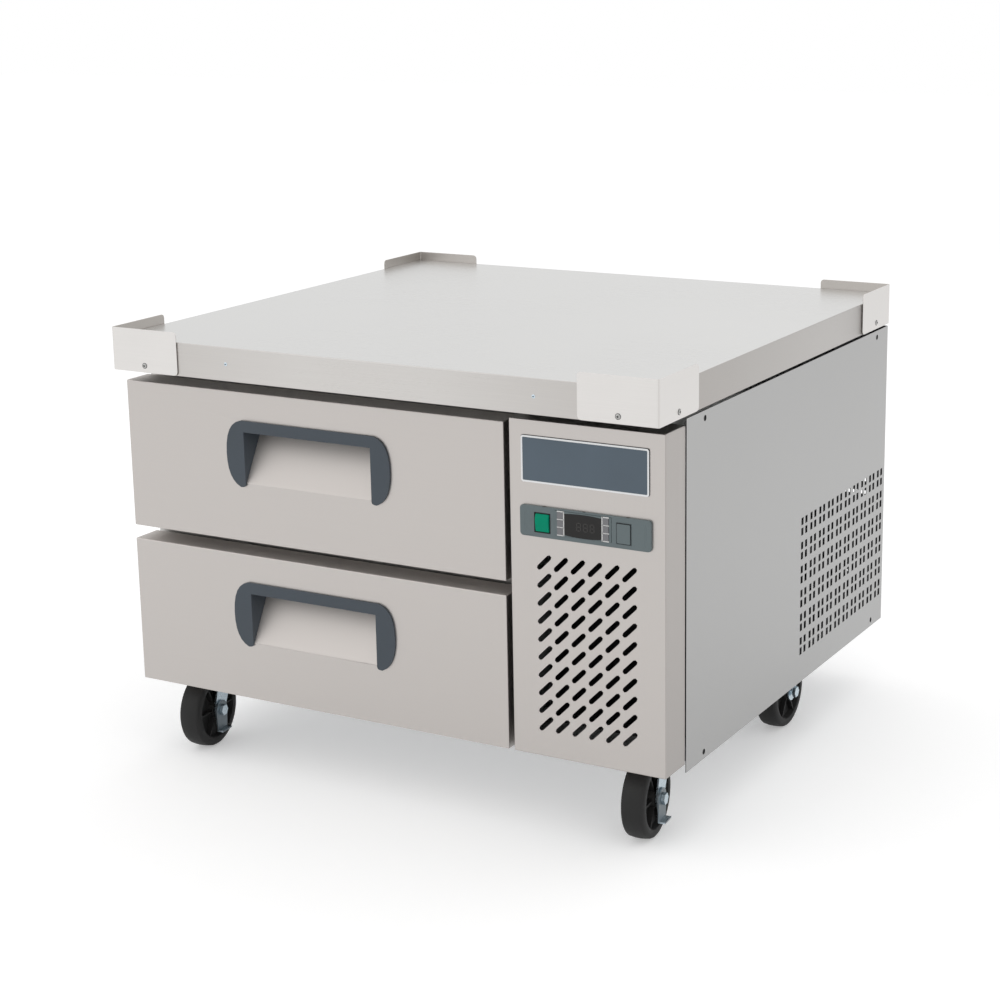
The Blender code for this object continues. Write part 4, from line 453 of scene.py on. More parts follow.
def moulded_surface(group, entry):
    """Tone, roughness and height of a fine spark-eroded texture and a faint slow change of tone."""
    where = coordinates(group)
    fine = noise(group, where, entry["Grain Scale"], 2.0, 0.6)
    slow = noise(group, where, 14.0)
    return slow, spread(group, slow, entry["Rough Low"], entry["Rough High"]), fine


def settled_dust(group, entry):
    """A mask that is strongest on faces that look up, broken by noise."""
    normal = add(group, "NewGeometry", {}).outputs["Normal"]
    upward = spread(group, add(group, "SeparateXYZ", {0: normal}).outputs[Z])
    broken = spread(group, noise(group, coordinates(group), 60.0, 4.0, 0.6), 0.2, 1.0)
    mask = arithmetic(group, "MULTIPLY", upward, broken)
    return [arithmetic(group, "MULTIPLY", mask, entry["Amount"])]


ROUGH_LIMITS = ("Rough Low", "Rough High")
SURFACE = ("Tone", "Roughness", "Height")
GROUPS = {
    "Brushed Grain": (brushed_grain, ("Vector", "Cloud Scale", *ROUGH_LIMITS), SURFACE),
    "Moulded Surface": (moulded_surface, ("Grain Scale", *ROUGH_LIMITS), SURFACE),
    "Settled Dust": (settled_dust, ("Amount",), ("Mask",)),
}


def effect(tree, name, *values):
    """The outputs of the named node group, built once, placed in a material with its own values."""
    build, entries, exits = GROUPS[name]
    group = bpy.data.node_groups.get(name)
    if not group:
        group = bpy.data.node_groups.new(name, "ShaderNodeTree")
        for side, labels in (("INPUT", entries), ("OUTPUT", exits)):
            for label in labels:
                kind = "NodeSocketVector" if label == "Vector" else "NodeSocketFloat"
                group.interface.new_socket(name=label, in_out=side, socket_type=kind)
        entry, leave = group.nodes.new("NodeGroupInput"), group.nodes.new("NodeGroupOutput")
        for label, socket in zip(exits, build(group, entry.outputs)):
            group.links.new(socket, leave.inputs[label])
    return add(tree, "Group", dict(zip(entries, values)), node_tree=group).outputs


def two_tones(tree, tone, share, contrast):
    """The tone, darker by the contrast where the share is low and paler by it where it is high."""
    darker, paler = (tuple(min(1.0, part * (1 + way * contrast)) for part in tone) for way in (-1, 1))
    return blended(tree, spread(tree, share), darker, paler)


def looks_along(tree, axis):
    """1 on faces that look along the axis, either way, and 0 on faces that lie along it."""
    part = add(tree, "SeparateXYZ", {0: coordinates(tree, "Normal")}).outputs[axis]
    return ramp(tree, arithmetic(tree, "ABSOLUTE", part, 0.0), 0.05, 0.35)


def lies_within(tree, limits):
    """1 where a point is within half a width of a middle, for both (axis, middle, half) given, else 0."""
    where = add(tree, "SeparateXYZ", {0: coordinates(tree)}).outputs
    beyond = []
    for axis, middle, half in limits:
        off = arithmetic(tree, "ABSOLUTE", arithmetic(tree, "SUBTRACT", where[axis], middle), 0.0)
        beyond.append(arithmetic(tree, "SUBTRACT", off, half))
    return ramp(tree, arithmetic(tree, "MAXIMUM", *beyond), 0.2 * MM, -0.2 * MM)


def steel(tree, tone, stretch, rough, contrast, cloud, turned=(), within=None, cut=None):
    """Satin steel whose grain runs along the axis with the small stretch value.

    turned lists an axis, a shade and an added roughness for the faces that look along that axis; the shade
    is painted shade where it is below 1 and painted light where it is above 1, for how light falls on faces
    turned that way. within gives a painted shade and the limits of the faces that have it. cut gives the axis
    that the sheet looks along, and a painted shade and limits for its cut edges, standing in for the shade in the
    holes.
    """
    mapping = add(tree, "Mapping", {"Vector": coordinates(tree), "Scale": stretch})
    grain = effect(tree, "Brushed Grain", mapping.outputs["Vector"], cloud, *rough)
    tint, roughness = two_tones(tree, tone, grain["Tone"], contrast), grain["Roughness"]
    for axis, shade, added in turned:
        mask = looks_along(tree, axis)
        tint = blended(tree, mask, tint, shade, "MULTIPLY")
        if added:
            roughness = arithmetic(tree, "ADD", roughness, arithmetic(tree, "MULTIPLY", mask, added))
    if within:
        shade, limits = within
        tint = blended(tree, lies_within(tree, limits), tint, shade, "MULTIPLY")
    if cut:
        axis, shade, limits = cut
        edges = arithmetic(tree, "SUBTRACT", 1.0, looks_along(tree, axis))
        if limits:
            edges = arithmetic(tree, "MULTIPLY", edges, lies_within(tree, limits))
        tint = blended(tree, edges, tint, shade, "MULTIPLY")
    return tint, roughness, grain["Height"], BRUSHED_RELIEF


def moulding(tree, tone, rough, contrast=0.06, grain=900.0, bump=0.12, dusty=0.0):
    """Moulded plastic, rubber or paint, with its fine texture and any settled dust."""
    surface = effect(tree, "Moulded Surface", grain, *rough)
    tint = two_tones(tree, tone, surface["Tone"], contrast)
    if dusty:
        tint = blended(tree, effect(tree, "Settled Dust", dusty)["Mask"], tint, tuple(colours().dust))
    return tint, surface["Roughness"], surface["Height"], bump


def limits_of(box, axes, inset):
    """For each axis, the middle of a box and half its width less the inset."""
    low, high = box
    return [(axis, (low[axis] + high[axis]) / 2, (high[axis] - low[axis]) / 2 - inset) for axis in axes]


BRUSHED_RELIEF = 0.06
ALONG_X = (7.0, 700.0, 700.0)
ALONG_Y = (700.0, 7.0, 700.0)
ALONG_Z = (700.0, 700.0, 7.0)
EVEN = (160.0, 160.0, 160.0)
# Near-black multiplier for the cut edges of slots and vents: painted shade in the holes.
CUT_SHADE = (0.10, 0.10, 0.10)
# Faces within these limits, inside the guards' outer skin, get painted shade in Guard steel.
INSIDE_GUARDS = limits_of(CAD_BOX, (X, Y), 0.7 * MM)
# Within these limits the fascia's slot edges get painted shade.
INSIDE_FASCIA = limits_of(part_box("fascia_panel"), (X, Z), 5 * MM)

# Each finish gives its colour and then the values of steel() or moulding(), in order.
STEELS = {
    # Worktop: faces looking along X (the apron's ends) are darkened to 0.70 and faces looking along Y (the apron's
    # front) to 0.95, as painted shade.
    "Worktop steel": ("worktop", ALONG_X, (0.25, 0.33), 0.05, 4.0,
                      ((X, (0.70, 0.675, 0.66), 0.0), (Y, (0.95, 0.925, 0.91), 0.0))),
    # Guards: faces inside INSIDE_GUARDS are darkened to 0.78 as painted shade.
    "Guard steel": ("guard", ALONG_X, (0.28, 0.44), 0.04, 9.0, (), ((0.78, 0.76, 0.74), INSIDE_GUARDS)),
    # Fronts: faces looking along Z, the finger pockets' sloping floors, are 1.18 times paler as painted light, and
    # 0.20 rougher.
    "Front steel": ("front", ALONG_X, (0.36, 0.44), 0.02, 3.0, ((Z, (1.18, 1.18, 1.18), 0.20),)),
    # Fascia: faces looking along X, the side returns, are darkened to 0.80 as painted shade, and its slot edges
    # get CUT_SHADE as painted shade in the slots.
    "Fascia steel": ("front", ALONG_Z, (0.34, 0.42), 0.02, 3.0, ((X, (0.80, 0.80, 0.80), 0.0),), None,
                     (Y, CUT_SHADE, INSIDE_FASCIA)),
    # Sides: the vents' cut edges get CUT_SHADE as painted shade in the vents.
    "Side steel": ("side", ALONG_Z, (0.32, 0.42), 0.03, 3.5, (), None, (X, CUT_SHADE, ())),
    "Inside steel": ("inside", ALONG_Y, (0.34, 0.44), 0.03, 5.0),
    "Galvanised steel": ("galvanised", EVEN, (0.38, 0.56), 0.12, 30.0),
    "Zinc plate": ("zinc", EVEN, (0.20, 0.34), 0.07, 40.0),
    "Screw steel": ("screw", EVEN, (0.18, 0.30), 0.05, 60.0),
    # Brake levers: faces looking along X, the side plates, are darkened to 0.30 as painted shade on the same zinc.
    "Lever steel": ("zinc", EVEN, (0.26, 0.40), 0.07, 40.0, ((X, (0.30, 0.30, 0.30), 0.0),)),
    "Liner sheet": ("liner", ALONG_Y, (0.40, 0.50), 0.02, 4.0),
    "Evaporator fins": ("fins", ALONG_Z, (0.34, 0.44), 0.06, 8.0),
    "Copper tube": ("copper", EVEN, (0.24, 0.38), 0.10, 25.0),
}
MOULDINGS = {
    "Handle plastic": ("handle", (0.42, 0.50)),
    "Bezel plastic": ("bezel", (0.34, 0.42), 0.03),
    "Key plastic": ("key", (0.42, 0.50), 0.03),
    "Rocker plastic": ("rocker", (0.20, 0.26), 0.05, 400.0, 0.03),
    "Display window": ("display", (0.10, 0.14), 0.05, 300.0, 0.01),
    "Display segments": ("segment", (0.20, 0.26), 0.03, 300.0, 0.01),
    "Marking print": ("marking", (0.45, 0.55), 0.02),
    "Badge field": ("badge", (0.28, 0.36), 0.05, 500.0, 0.04),
    "Badge border": ("border", (0.30, 0.38), 0.02, 500.0, 0.04),
    "Tyre rubber": ("rubber", (0.55, 0.70), 0.2, 260.0, 0.3, 0.04),
    "Gasket rubber": ("seal", (0.55, 0.65), 0.1),
    "Black plastic": ("plastic", (0.45, 0.55), 0.1, 500.0, 0.1),
    "Machine enamel": ("enamel", (0.30, 0.42), 0.1, 180.0, 0.1, 0.10),
    # Condenser fins: near black, partly a dark coating and partly painted shade behind the fascia's slots.
    "Condenser fins": ("condenser", (0.45, 0.55), 0.2, 200.0, 0.1),
}

METALLIC = {**dict.fromkeys(STEELS, 1.0), "Liner sheet": 0.5}
SPECULAR = {"Rocker plastic": 0.07, "Display window": 0.35, "Tyre rubber": 0.4, "Black plastic": 0.3}


def material(name):
    """The named finish, built once: a Principled shader with plain values on its plain sockets."""
    made = bpy.data.materials.get(name)
    if made:
        return made
    made = bpy.data.materials.new(name)
    made.use_nodes = True
    tree = made.node_tree
    shader = tree.nodes["Principled BSDF"].inputs
    for label, plain in (("Metallic", METALLIC), ("Specular IOR Level", SPECULAR)):
        if name in plain:
            shader[label].default_value = plain[name]
    build, finishes = (steel, STEELS) if name in STEELS else (moulding, MOULDINGS)
    tone, *values = finishes[name]
    tint, roughness, height, strength = build(tree, getattr(colours(), tone), *values)
    relief = add(tree, "Bump", {"Height": height, "Strength": strength, "Distance": 0.2 * MM})
    tree.links.new(tint, shader["Base Color"])
    tree.links.new(roughness, shader["Roughness"])
    tree.links.new(relief.outputs["Normal"], shader["Normal"])
    return made


class BuildStep:
    """What every operator of this add-on shares."""

    bl_options = {"REGISTER", "UNDO"}


class CHEFBASE_OT_worktop(BuildStep, bpy.types.Operator):
    """Roll the worktop's upper edge and brush its steel"""

    bl_idname = "chefbase.worktop"
    bl_label = "Worktop"

    def execute(self, context):
        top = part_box("worktop")[1].z
        other_share = 0.15

        def weights(first, second):
            return np.where(both(first, second, Z, top), 1.0, other_share)

        softened("worktop", "worktop_sheet", "Worktop steel", sizes().worktop_roll, 4, weights)
        return {"FINISHED"}


class CHEFBASE_OT_guards(BuildStep, bpy.types.Operator):
    """Break the cut edges of the four corner guards"""

    bl_idname = "chefbase.guards"
    bl_label = "Corner guards"

    def execute(self, context):
        cut_share = sizes().guard_edge / sizes().guard_fold
        for corner in CORNERS:
            node = f"corner_guard_{corner}"
            _, (x, y) = outer_corner(node, corner)

            def weights(first, second):
                fold = both(first, second, X, x) & both(first, second, Y, y)
                return np.where(fold, 1.0, cut_share)

            softened(node, f"guard_{corner}_sheet", "Guard steel", sizes().guard_fold, 4, weights)
        return {"FINISHED"}


class CHEFBASE_OT_casing(BuildStep, bpy.types.Operator):
    """Finish the side skins, the back, the chassis pan, the cabinet and its face frame"""

    bl_idname = "chefbase.casing"
    bl_label = "Casing"

    def execute(self, context):
        dress("Side steel", "left_side_panel", "right_side_panel")
        dress("Galvanised steel", "rear_panel", "base_pan", "slide_rack_left", "slide_rack_right")
        dress("Inside steel", "face_frame")
        dress("Liner sheet", "insulated_cabinet")
        softened("cord_gland", "cord_gland_bush", "Black plastic", sizes().key_edge)
        return {"FINISHED"}


class CHEFBASE_OT_drawer_fronts(BuildStep, bpy.types.Operator):
    """Round the finger pockets of the drawer fronts where they run out into the face"""

    bl_idname = "chefbase.drawer_fronts"
    bl_label = "Drawer fronts"

    def execute(self, context):
        thin = sizes().front_edge / sizes().pocket_roll
        above_foot, behind_face = 5 * MM, 3 * MM
        for level in LEVELS:
            node = f"drawer_front_{level}"
            low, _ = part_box(node)
            middle = sum(end.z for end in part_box(f"drawer_handle_{level}")) / 2

            def weights(first, second):
                inside = (first[:, Z] > low.z + above_foot) & (first[:, Z] < middle)
                level_edge = np.abs(first[:, Z] - second[:, Z]) < TINY
                mouth = both(first, second, Y, low.y) & inside & level_edge
                return np.where(mouth, 1.0, np.where(first[:, Y] > low.y + behind_face, thin, 0.0))

            softened(node, f"{node}_skin", "Front steel", sizes().pocket_roll, 5, weights, PLANE_ANGLE)
        return {"FINISHED"}


class CHEFBASE_OT_handles(BuildStep, bpy.types.Operator):
    """Round the two moulded handles"""

    bl_idname = "chefbase.handles"
    bl_label = "Handles"

    def execute(self, context):
        for level in LEVELS:
            node, name = f"drawer_handle_{level}", f"handle_{level}_moulding"
            softened(node, name, "Handle plastic", sizes().handle_edge, 3)
        return {"FINISHED"}


class CHEFBASE_OT_gaskets(BuildStep, bpy.types.Operator):
    """Make the drawer gaskets as bellows with a magnet tube behind a dart foot"""

    bl_idname = "chefbase.gaskets"
    bl_label = "Drawer gaskets"

    def execute(self, context):
        wide = 14.0 * MM
        section = np.array([
            (0.0, 0.30), (0.06, 0.12), (0.20, 0.0), (0.80, 0.0), (0.94, 0.12), (1.0, 0.30), (0.86, 0.42),
            (1.0, 0.56), (1.0, 0.88), (0.92, 1.0), (0.08, 1.0), (0.0, 0.88), (0.0, 0.56), (0.14, 0.42),
        ])
        for level in LEVELS:
            node = f"drawer_gasket_{level}"
            low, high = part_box(node)
            profile = section * (wide, high.y - low.y) + (0.0, low.y)
            ring = ring_patch((low.x, low.z), (high.x, high.z), profile)
            stand_in(node, f"gasket_{level}_bellows", [ring], "Gasket rubber")
        return {"FINISHED"}


class CHEFBASE_OT_runners(BuildStep, bpy.types.Operator):
    """Finish the pan frames and the telescopic slides"""

    bl_idname = "chefbase.runners"
    bl_label = "Pan frames and slides"

    def execute(self, context):
        for level in LEVELS:
            node, name = f"drawer_pan_frame_{level}", f"pan_frame_{level}_sheet"
            softened(node, name, "Inside steel", sizes().guard_edge, 1)
            dress("Galvanised steel", f"slide_member_{level}_left", f"slide_member_{level}_right")
        return {"FINISHED"}


class CHEFBASE_OT_fascia(BuildStep, bpy.types.Operator):
    """Fold the fascia's outer edges with a soft radius"""

    bl_idname = "chefbase.fascia"
    bl_label = "Fascia"

    def execute(self, context):
        low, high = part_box("fascia_panel")

        def weights(first, second):
            rim = np.zeros(len(first), bool)
            for axis in (X, Z):
                rim |= both(first, second, axis, low[axis]) | both(first, second, axis, high[axis])
            upright = (np.abs(first[:, Y] - low.y) < TINY) != (np.abs(second[:, Y] - low.y) < TINY)
            return np.where(rim & (both(first, second, Y, low.y) | upright), 1.0, 0.0)

        softened("fascia_panel", "fascia_sheet", "Fascia steel", sizes().fascia_fold, 4, weights)
        return {"FINISHED"}


class CHEFBASE_OT_badge(BuildStep, bpy.types.Operator):
    """Fix the bare name plate: a pale plate with a slate field, and a black plate behind as painted shade at its
    upper and right edges
    """

    bl_idname = "chefbase.badge"
    bl_label = "Bare name plate"

    def execute(self, context):
        bezel_low, bezel_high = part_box("control_bezel")
        middle_x, above_bezel = (bezel_low.x + bezel_high.x) / 2, 65.5 * MM
        x, z = middle_x - 1.35 * MM, bezel_high.z + above_bezel
        width, height, border = sizes().badge_width, sizes().badge_height, sizes().badge_border
        outer_corner_radius, inner_corner_radius = 3.5 * MM, 1.4 * MM
        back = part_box("fascia_panel")[0].y - 0.1 * MM
        face = back - sizes().badge_thick
        # A black plate a little larger, set up and to the right: painted shade along the plate's upper and right
        # edges.
        joint = plate_patch((x + 0.4 * MM, z + 0.5 * MM), width + 0.8 * MM, height + 0.6 * MM,
                            outer_corner_radius, back - 0.8 * MM, back)
        plate = plate_patch((x, z), width, height, outer_corner_radius, face, back)
        field = plate_patch((x, z), width - 2 * border, height - 2 * border,
                            inner_corner_radius, face - 0.15 * MM, face + 0.3 * MM)
        cabinet_piece("badge_backing", [joint])
        cabinet_piece("badge_plate", [plate], "Badge border", "satin_steel")
        cabinet_piece("badge_field", [field], "Badge field", "slate_plastic")
        return {"FINISHED"}


class CHEFBASE_OT_controls(BuildStep, bpy.types.Operator):
    """Round the bezel, rocker, keys and blank cover, and fit the display window and markings"""

    bl_idname = "chefbase.controls"
    bl_label = "Controls"

    def execute(self, context):
        self.moulded_bezel()
        self.ribs_and_slots()
        self.rocker()
        self.blank()
        self.small_mouldings()
        self.display()
        return {"FINISHED"}

    def moulded_bezel(self):
        """Round the face's rim, which turns its corners within a corner's reach, more than its holes."""
        low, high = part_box("control_bezel")
        corner, hole_share = 5.0 * MM, 0.2

        def weights(first, second):
            middle = (first + second) / 2
            reach_x, reach_z = (np.minimum(middle[:, axis] - low[axis], high[axis] - middle[:, axis])
                                for axis in (X, Z))
            rim = (np.minimum(reach_x, reach_z) < corner / 4) | ((reach_x < corner) & (reach_z < corner))
            return np.where(both(first, second, Y, low.y), np.where(rim, 1.0, hole_share), 0.0)

        softened("control_bezel", "bezel_moulding", "Bezel plastic", sizes().bezel_edge, 4, weights)

    def ribs_and_slots(self):
        """Two shallow bowed ribs at each end, at reach - bow (1 - s^2) from it, and three black blocks as painted
        shade in the clip slots.
        """
        low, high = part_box("control_bezel")
        half_tall, bow, thick, sunk = 15.0 * MM, 1.6 * MM, 0.45 * MM, 0.25 * MM
        share = np.linspace(-1.0, 1.0, 13)
        z = (low.z + high.z) / 2 + share * half_tall
        ribs = []
        for end, way in ((low.x, 1), (high.x, -1)):
            for reach in (8.5 * MM, 11.0 * MM):
                x = end + way * (reach - bow * (1 - share ** 2))
                path = np.stack([x, np.full_like(x, low.y + sunk), z], 1)
                ribs.append(pipe_patch(path, thick, 8, (0, 1, 0)))
        cabinet_piece("bezel_ribs", ribs, "Bezel plastic", "bezel_plastic")
        # Black blocks at the clip slots: painted shade in the slots.
        half_wide, near, far = 2.2 * MM, low.y + 0.8 * MM, low.y + 4.0 * MM
        foot, head = high.z - 0.9 * MM, high.z + 0.05 * MM
        slots = [box_patch((x - half_wide, near, foot), (x + half_wide, far, head))
                 for x in (0.2745, 0.3365, 0.4040)]
        cabinet_piece("bezel_clip_slots", slots)

    def rocker(self):
        """The cap stands proud of the bezel by a rise to a ridge and a quicker fall above it.

        With t from 0 at its foot to 1 at its head and the ridge at k, the height is
        foot + (ridge - foot) sin(pi t / 2k) below the ridge and falls to head as ((t - k) / (1 - k))^1.3.
        """
        low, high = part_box("rocker_switch")
        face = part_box("control_bezel")[0].y
        middle, half, inset = (low.z + high.z) / 2, 12.75 * MM, 1.75 * MM
        ridge_at, foot, ridge, head = 0.74, 0.9 * MM, 2.9 * MM, 0.6 * MM
        t = np.linspace(0.0, 1.0, 21)
        rise = foot + (ridge - foot) * np.sin(np.minimum(t / ridge_at, 1.0) * math.pi / 2)
        fall = np.clip((t - ridge_at) / (1 - ridge_at), 0.0, 1.0) ** 1.3 * (ridge - head)
        front = np.stack([face - rise + fall, middle - half + t * 2 * half], 1)
        outline = np.vstack([front, [(high.y, middle + half), (high.y, middle - half)]])
        cap = mesh_object("rocker_cap", [carried_patch(outline, low.x + inset, high.x - inset, X)])
        round_edges(cap, sizes().rocker_edge, 3)
        finished(cap, "Rocker plastic", BODY_OF["rocker_switch"], SLOT_OF["rocker_switch"], "rocker_switch")
        wide, deep, proud, gap = 1.1 * MM, 8.0 * MM, 0.1 * MM, 0.4 * MM
        profile = [(0.0, face - proud), (wide, face - proud), (wide, face + deep), (0.0, face + deep)]
        ring = ring_patch((low.x - gap, low.z - gap), (high.x + gap, high.z + gap), profile)
        cabinet_piece("rocker_surround", [ring])

    def blank(self):
        """The blank cover: a flange on the bezel, a black layer as painted shade in the groove, and a raised cap.
        """
        low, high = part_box("blank_cover")
        centre, face = ((low.x + high.x) / 2, (low.z + high.z) / 2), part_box("control_bezel")[0].y

        def layer(trim, start, end):
            return plate_patch(centre, high.x - low.x - trim, high.z - low.z - trim, 1.2 * MM, start, end)

        flange, cap = layer(0.0, face - 0.2 * MM, high.y), layer(2.6 * MM, low.y, face + 0.2 * MM)
        stand_in("blank_cover", "blank_cover_cap", [flange, cap], "Bezel plastic")
        # A black layer between flange and cap: painted shade in the groove.
        cabinet_piece("blank_cover_groove", [layer(0.5 * MM, face - 0.28 * MM, face + 0.1 * MM)])

    def small_mouldings(self):
        softened("temperature_controller", "controller_case", "Bezel plastic", sizes().key_edge / 2)
        for column in ("left", "right"):
            for row in KEY_ROWS:
                key = f"controller_key_{column}_{row}"
                softened(key, f"{key}_cap", "Key plastic", sizes().key_edge)

    def display(self):
        """The window, whose upper and lower edges follow z = middle +- (height / 2 - bow u^2)."""
        low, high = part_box("temperature_controller")
        middle_x, middle_z = (low.x + high.x) / 2, (low.z + high.z) / 2 - 0.7 * MM
        front = low.y - 0.3 * MM
        share = np.linspace(-1.0, 1.0, 17)
        reach = sizes().display_height / 2 - sizes().display_bow * share ** 2
        x = middle_x + share * sizes().display_width / 2
        outline = np.vstack([np.stack([x, middle_z - reach], 1), np.stack([x, middle_z + reach], 1)[::-1]])
        window = carried_patch(outline, front, low.y + 0.9 * MM)
        cabinet_piece("display_window", [window], "Display window")
        self.segments(middle_x + 4.0 * MM, middle_z - 1.0 * MM, front)
        self.markings(low.y)

    def segments(self, middle_x, middle_z, front):
        """Three unlit digits, each of seven bars on a frame of 6 by 11 mm."""
        wide, tall, bar, pitch = 6.0 * MM, 11.0 * MM, 0.9 * MM, 10.5 * MM
        flat, upright = (wide / 2 - bar, bar / 2), (bar / 2, tall / 4 - bar / 2)
        bars = [(0, up, flat) for up in (-1, 0, 1)]
        bars += [(side, up, upright) for side in (-1, 1) for up in (-0.5, 0.5)]
        patches = []
        for digit in (-1, 0, 1):
            for side, up, (reach_x, reach_z) in bars:
                x, z = middle_x + digit * pitch + side * wide / 2, middle_z + up * tall / 2
                patches.append(box_patch((x - reach_x, front - 0.06 * MM, z - reach_z),
                                         (x + reach_x, front + 0.1 * MM, z + reach_z)))
        cabinet_piece("display_segments", patches, "Display segments")

    def markings(self, face):
        """A pale upright beside the window and a tick above, between and below the keys."""
        half, front, back = sizes().marking_width / 2, face - 0.25 * MM, face + 0.2 * MM
        patches = []
        for side, column in ((-1, "left"), (1, "right")):
            keys = [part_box(f"controller_key_{column}_{row}") for row in KEY_ROWS]
            gap = keys[1][0].z - keys[0][1].z
            heights = [keys[0][0].z - gap / 2] + [high.z + gap / 2 for _, high in keys]
            outer, inner = sorted((end.x for end in keys[0]), reverse=side > 0)
            spine = inner - side * 0.75 * MM
            near, far = sorted((outer + side * 0.4 * MM, spine))
            patches += [box_patch((near, front, z - half), (far, back, z + half)) for z in heights]
            patches.append(box_patch((spine - half, front, heights[0] - half),
                                     (spine + half, back, heights[-1] + half)))
        cabinet_piece("key_markings", patches, "Marking print", "bezel_plastic")


def run_of(start, stop, step):
    """Evenly spaced middles between two ends, about one step apart."""
    count = max(1, int(round((stop - start) / step)))
    return start + (np.arange(count) + 0.5) * (stop - start) / count


class CHEFBASE_OT_coils(BuildStep, bpy.types.Operator):
    """Make the condenser and evaporator as packs of fins on tubes between end plates"""

    bl_idname = "chefbase.coils"
    bl_label = "Coils"

    def execute(self, context):
        plate, inset = 2.0 * MM, 2.5 * MM
        margin = np.array([plate, inset, inset])
        for node, name, finish in (("condenser_coil", "condenser_fins", "Condenser fins"),
                                   ("evaporator_coil", "evaporator_fins", "Evaporator fins")):
            low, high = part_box(node)
            core = np.array(low) + margin, np.array(high) - margin
            ends = [box_patch(low, (low.x + plate, high.y, high.z)),
                    box_patch((high.x - plate, low.y, low.z), high)]
            stand_in(node, name, self.fins(*core) + self.tubes(*core) + ends, finish)
        return {"FINISHED"}

    def fins(self, low, high):
        """Thin plates across X, a fin pitch apart, between two corners."""
        half = 0.125 * MM
        return [box_patch((x - half, low[Y], low[Z]), (x + half, high[Y], high[Z]))
                for x in run_of(low[X], high[X], sizes().fin_pitch)]

    def tubes(self, low, high):
        """Straight tubes through the fins, two deep."""
        radius, pitch = 4.0 * MM, 26.0 * MM
        patches = []
        for depth in (0.3, 0.7):
            y = low[Y] + (high[Y] - low[Y]) * depth
            for z in run_of(low[Z], high[Z], pitch):
                path = [(x, y, z) for x in (low[X], (low[X] + high[X]) / 2, high[X])]
                patches.append(pipe_patch(path, radius, 10, (0, 0, 1)))
        return patches


def blade_patch(centre, hub, tip, turn, half_arc, climb, thick):
    """One fan blade as a closed thin shell.

    At share u from hub to tip and v from -1 to 1 across, the blade lies at radius hub + u (tip - hub),
    angle turn + v half_arc (0.75 + 0.25 u), and y = climb v - camber (1 - v^2), with its rounded tip
    drawn back as v^4. The outer loop goes across on one face and back on the other.
    """
    u = np.linspace(0.0, 1.0, 9)[:, None]
    v = np.linspace(-1.0, 1.0, 11)
    face = np.repeat([1.0, -1.0], len(v))[None]
    v = np.concatenate([v, v[::-1]])[None]
    radius = hub + u * (tip - hub) * (1 - 0.10 * v ** 4)
    angle = turn + v * half_arc * (0.75 + 0.25 * u)
    camber = climb * 0.25
    height = climb * v - camber * (1 - v ** 2) + face * thick / 2 * (1 - 0.8 * np.abs(v) ** 3)
    spots = (centre[X] + radius * np.cos(angle), centre[Y] + height, centre[Z] + radius * np.sin(angle))
    return grid_patch(np.stack(np.broadcast_arrays(*spots), -1), wrap_columns=True, capped=True)


class CHEFBASE_OT_fans(BuildStep, bpy.types.Operator):
    """Shape the blades of both fans and finish the motor, shroud and evaporator cover"""

    bl_idname = "chefbase.fans"
    bl_label = "Fans"

    def execute(self, context):
        blades, half_arc, thick = 5, math.radians(26.0), 1.6 * MM
        for node, hub_share in (("condenser_fan", 0.278), ("evaporator_fan", 0.286)):
            low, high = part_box(node)
            centre = (low + high) / 2
            centre.x, _, centre.z = joint_of(node)["pos_m"]
            tip = max(high.x - centre.x, high.z - centre.z)
            hub, reach = tip * hub_share, (high.y - low.y) / 2
            rim = [(0, -reach), (hub * 0.92, -reach), (hub, -reach * 0.85), (hub, reach), (0, reach)]
            patches = [turned_patch(rim, centre, Y, 32)]
            root, end, climb = hub * 0.9, tip * 0.985, reach * 0.72
            for turn in np.arange(blades) * math.tau / blades:
                patches.append(blade_patch(centre, root, end, turn, half_arc, climb, thick))
            stand_in(node, f"{node}_blades", patches, "Black plastic")
        softened("condenser_fan_motor", "condenser_motor_case", "Machine enamel", 0.8 * MM)
        dress("Galvanised steel", "condenser_fan_shroud")
        dress("Liner sheet", "evaporator_cover")
        return {"FINISHED"}


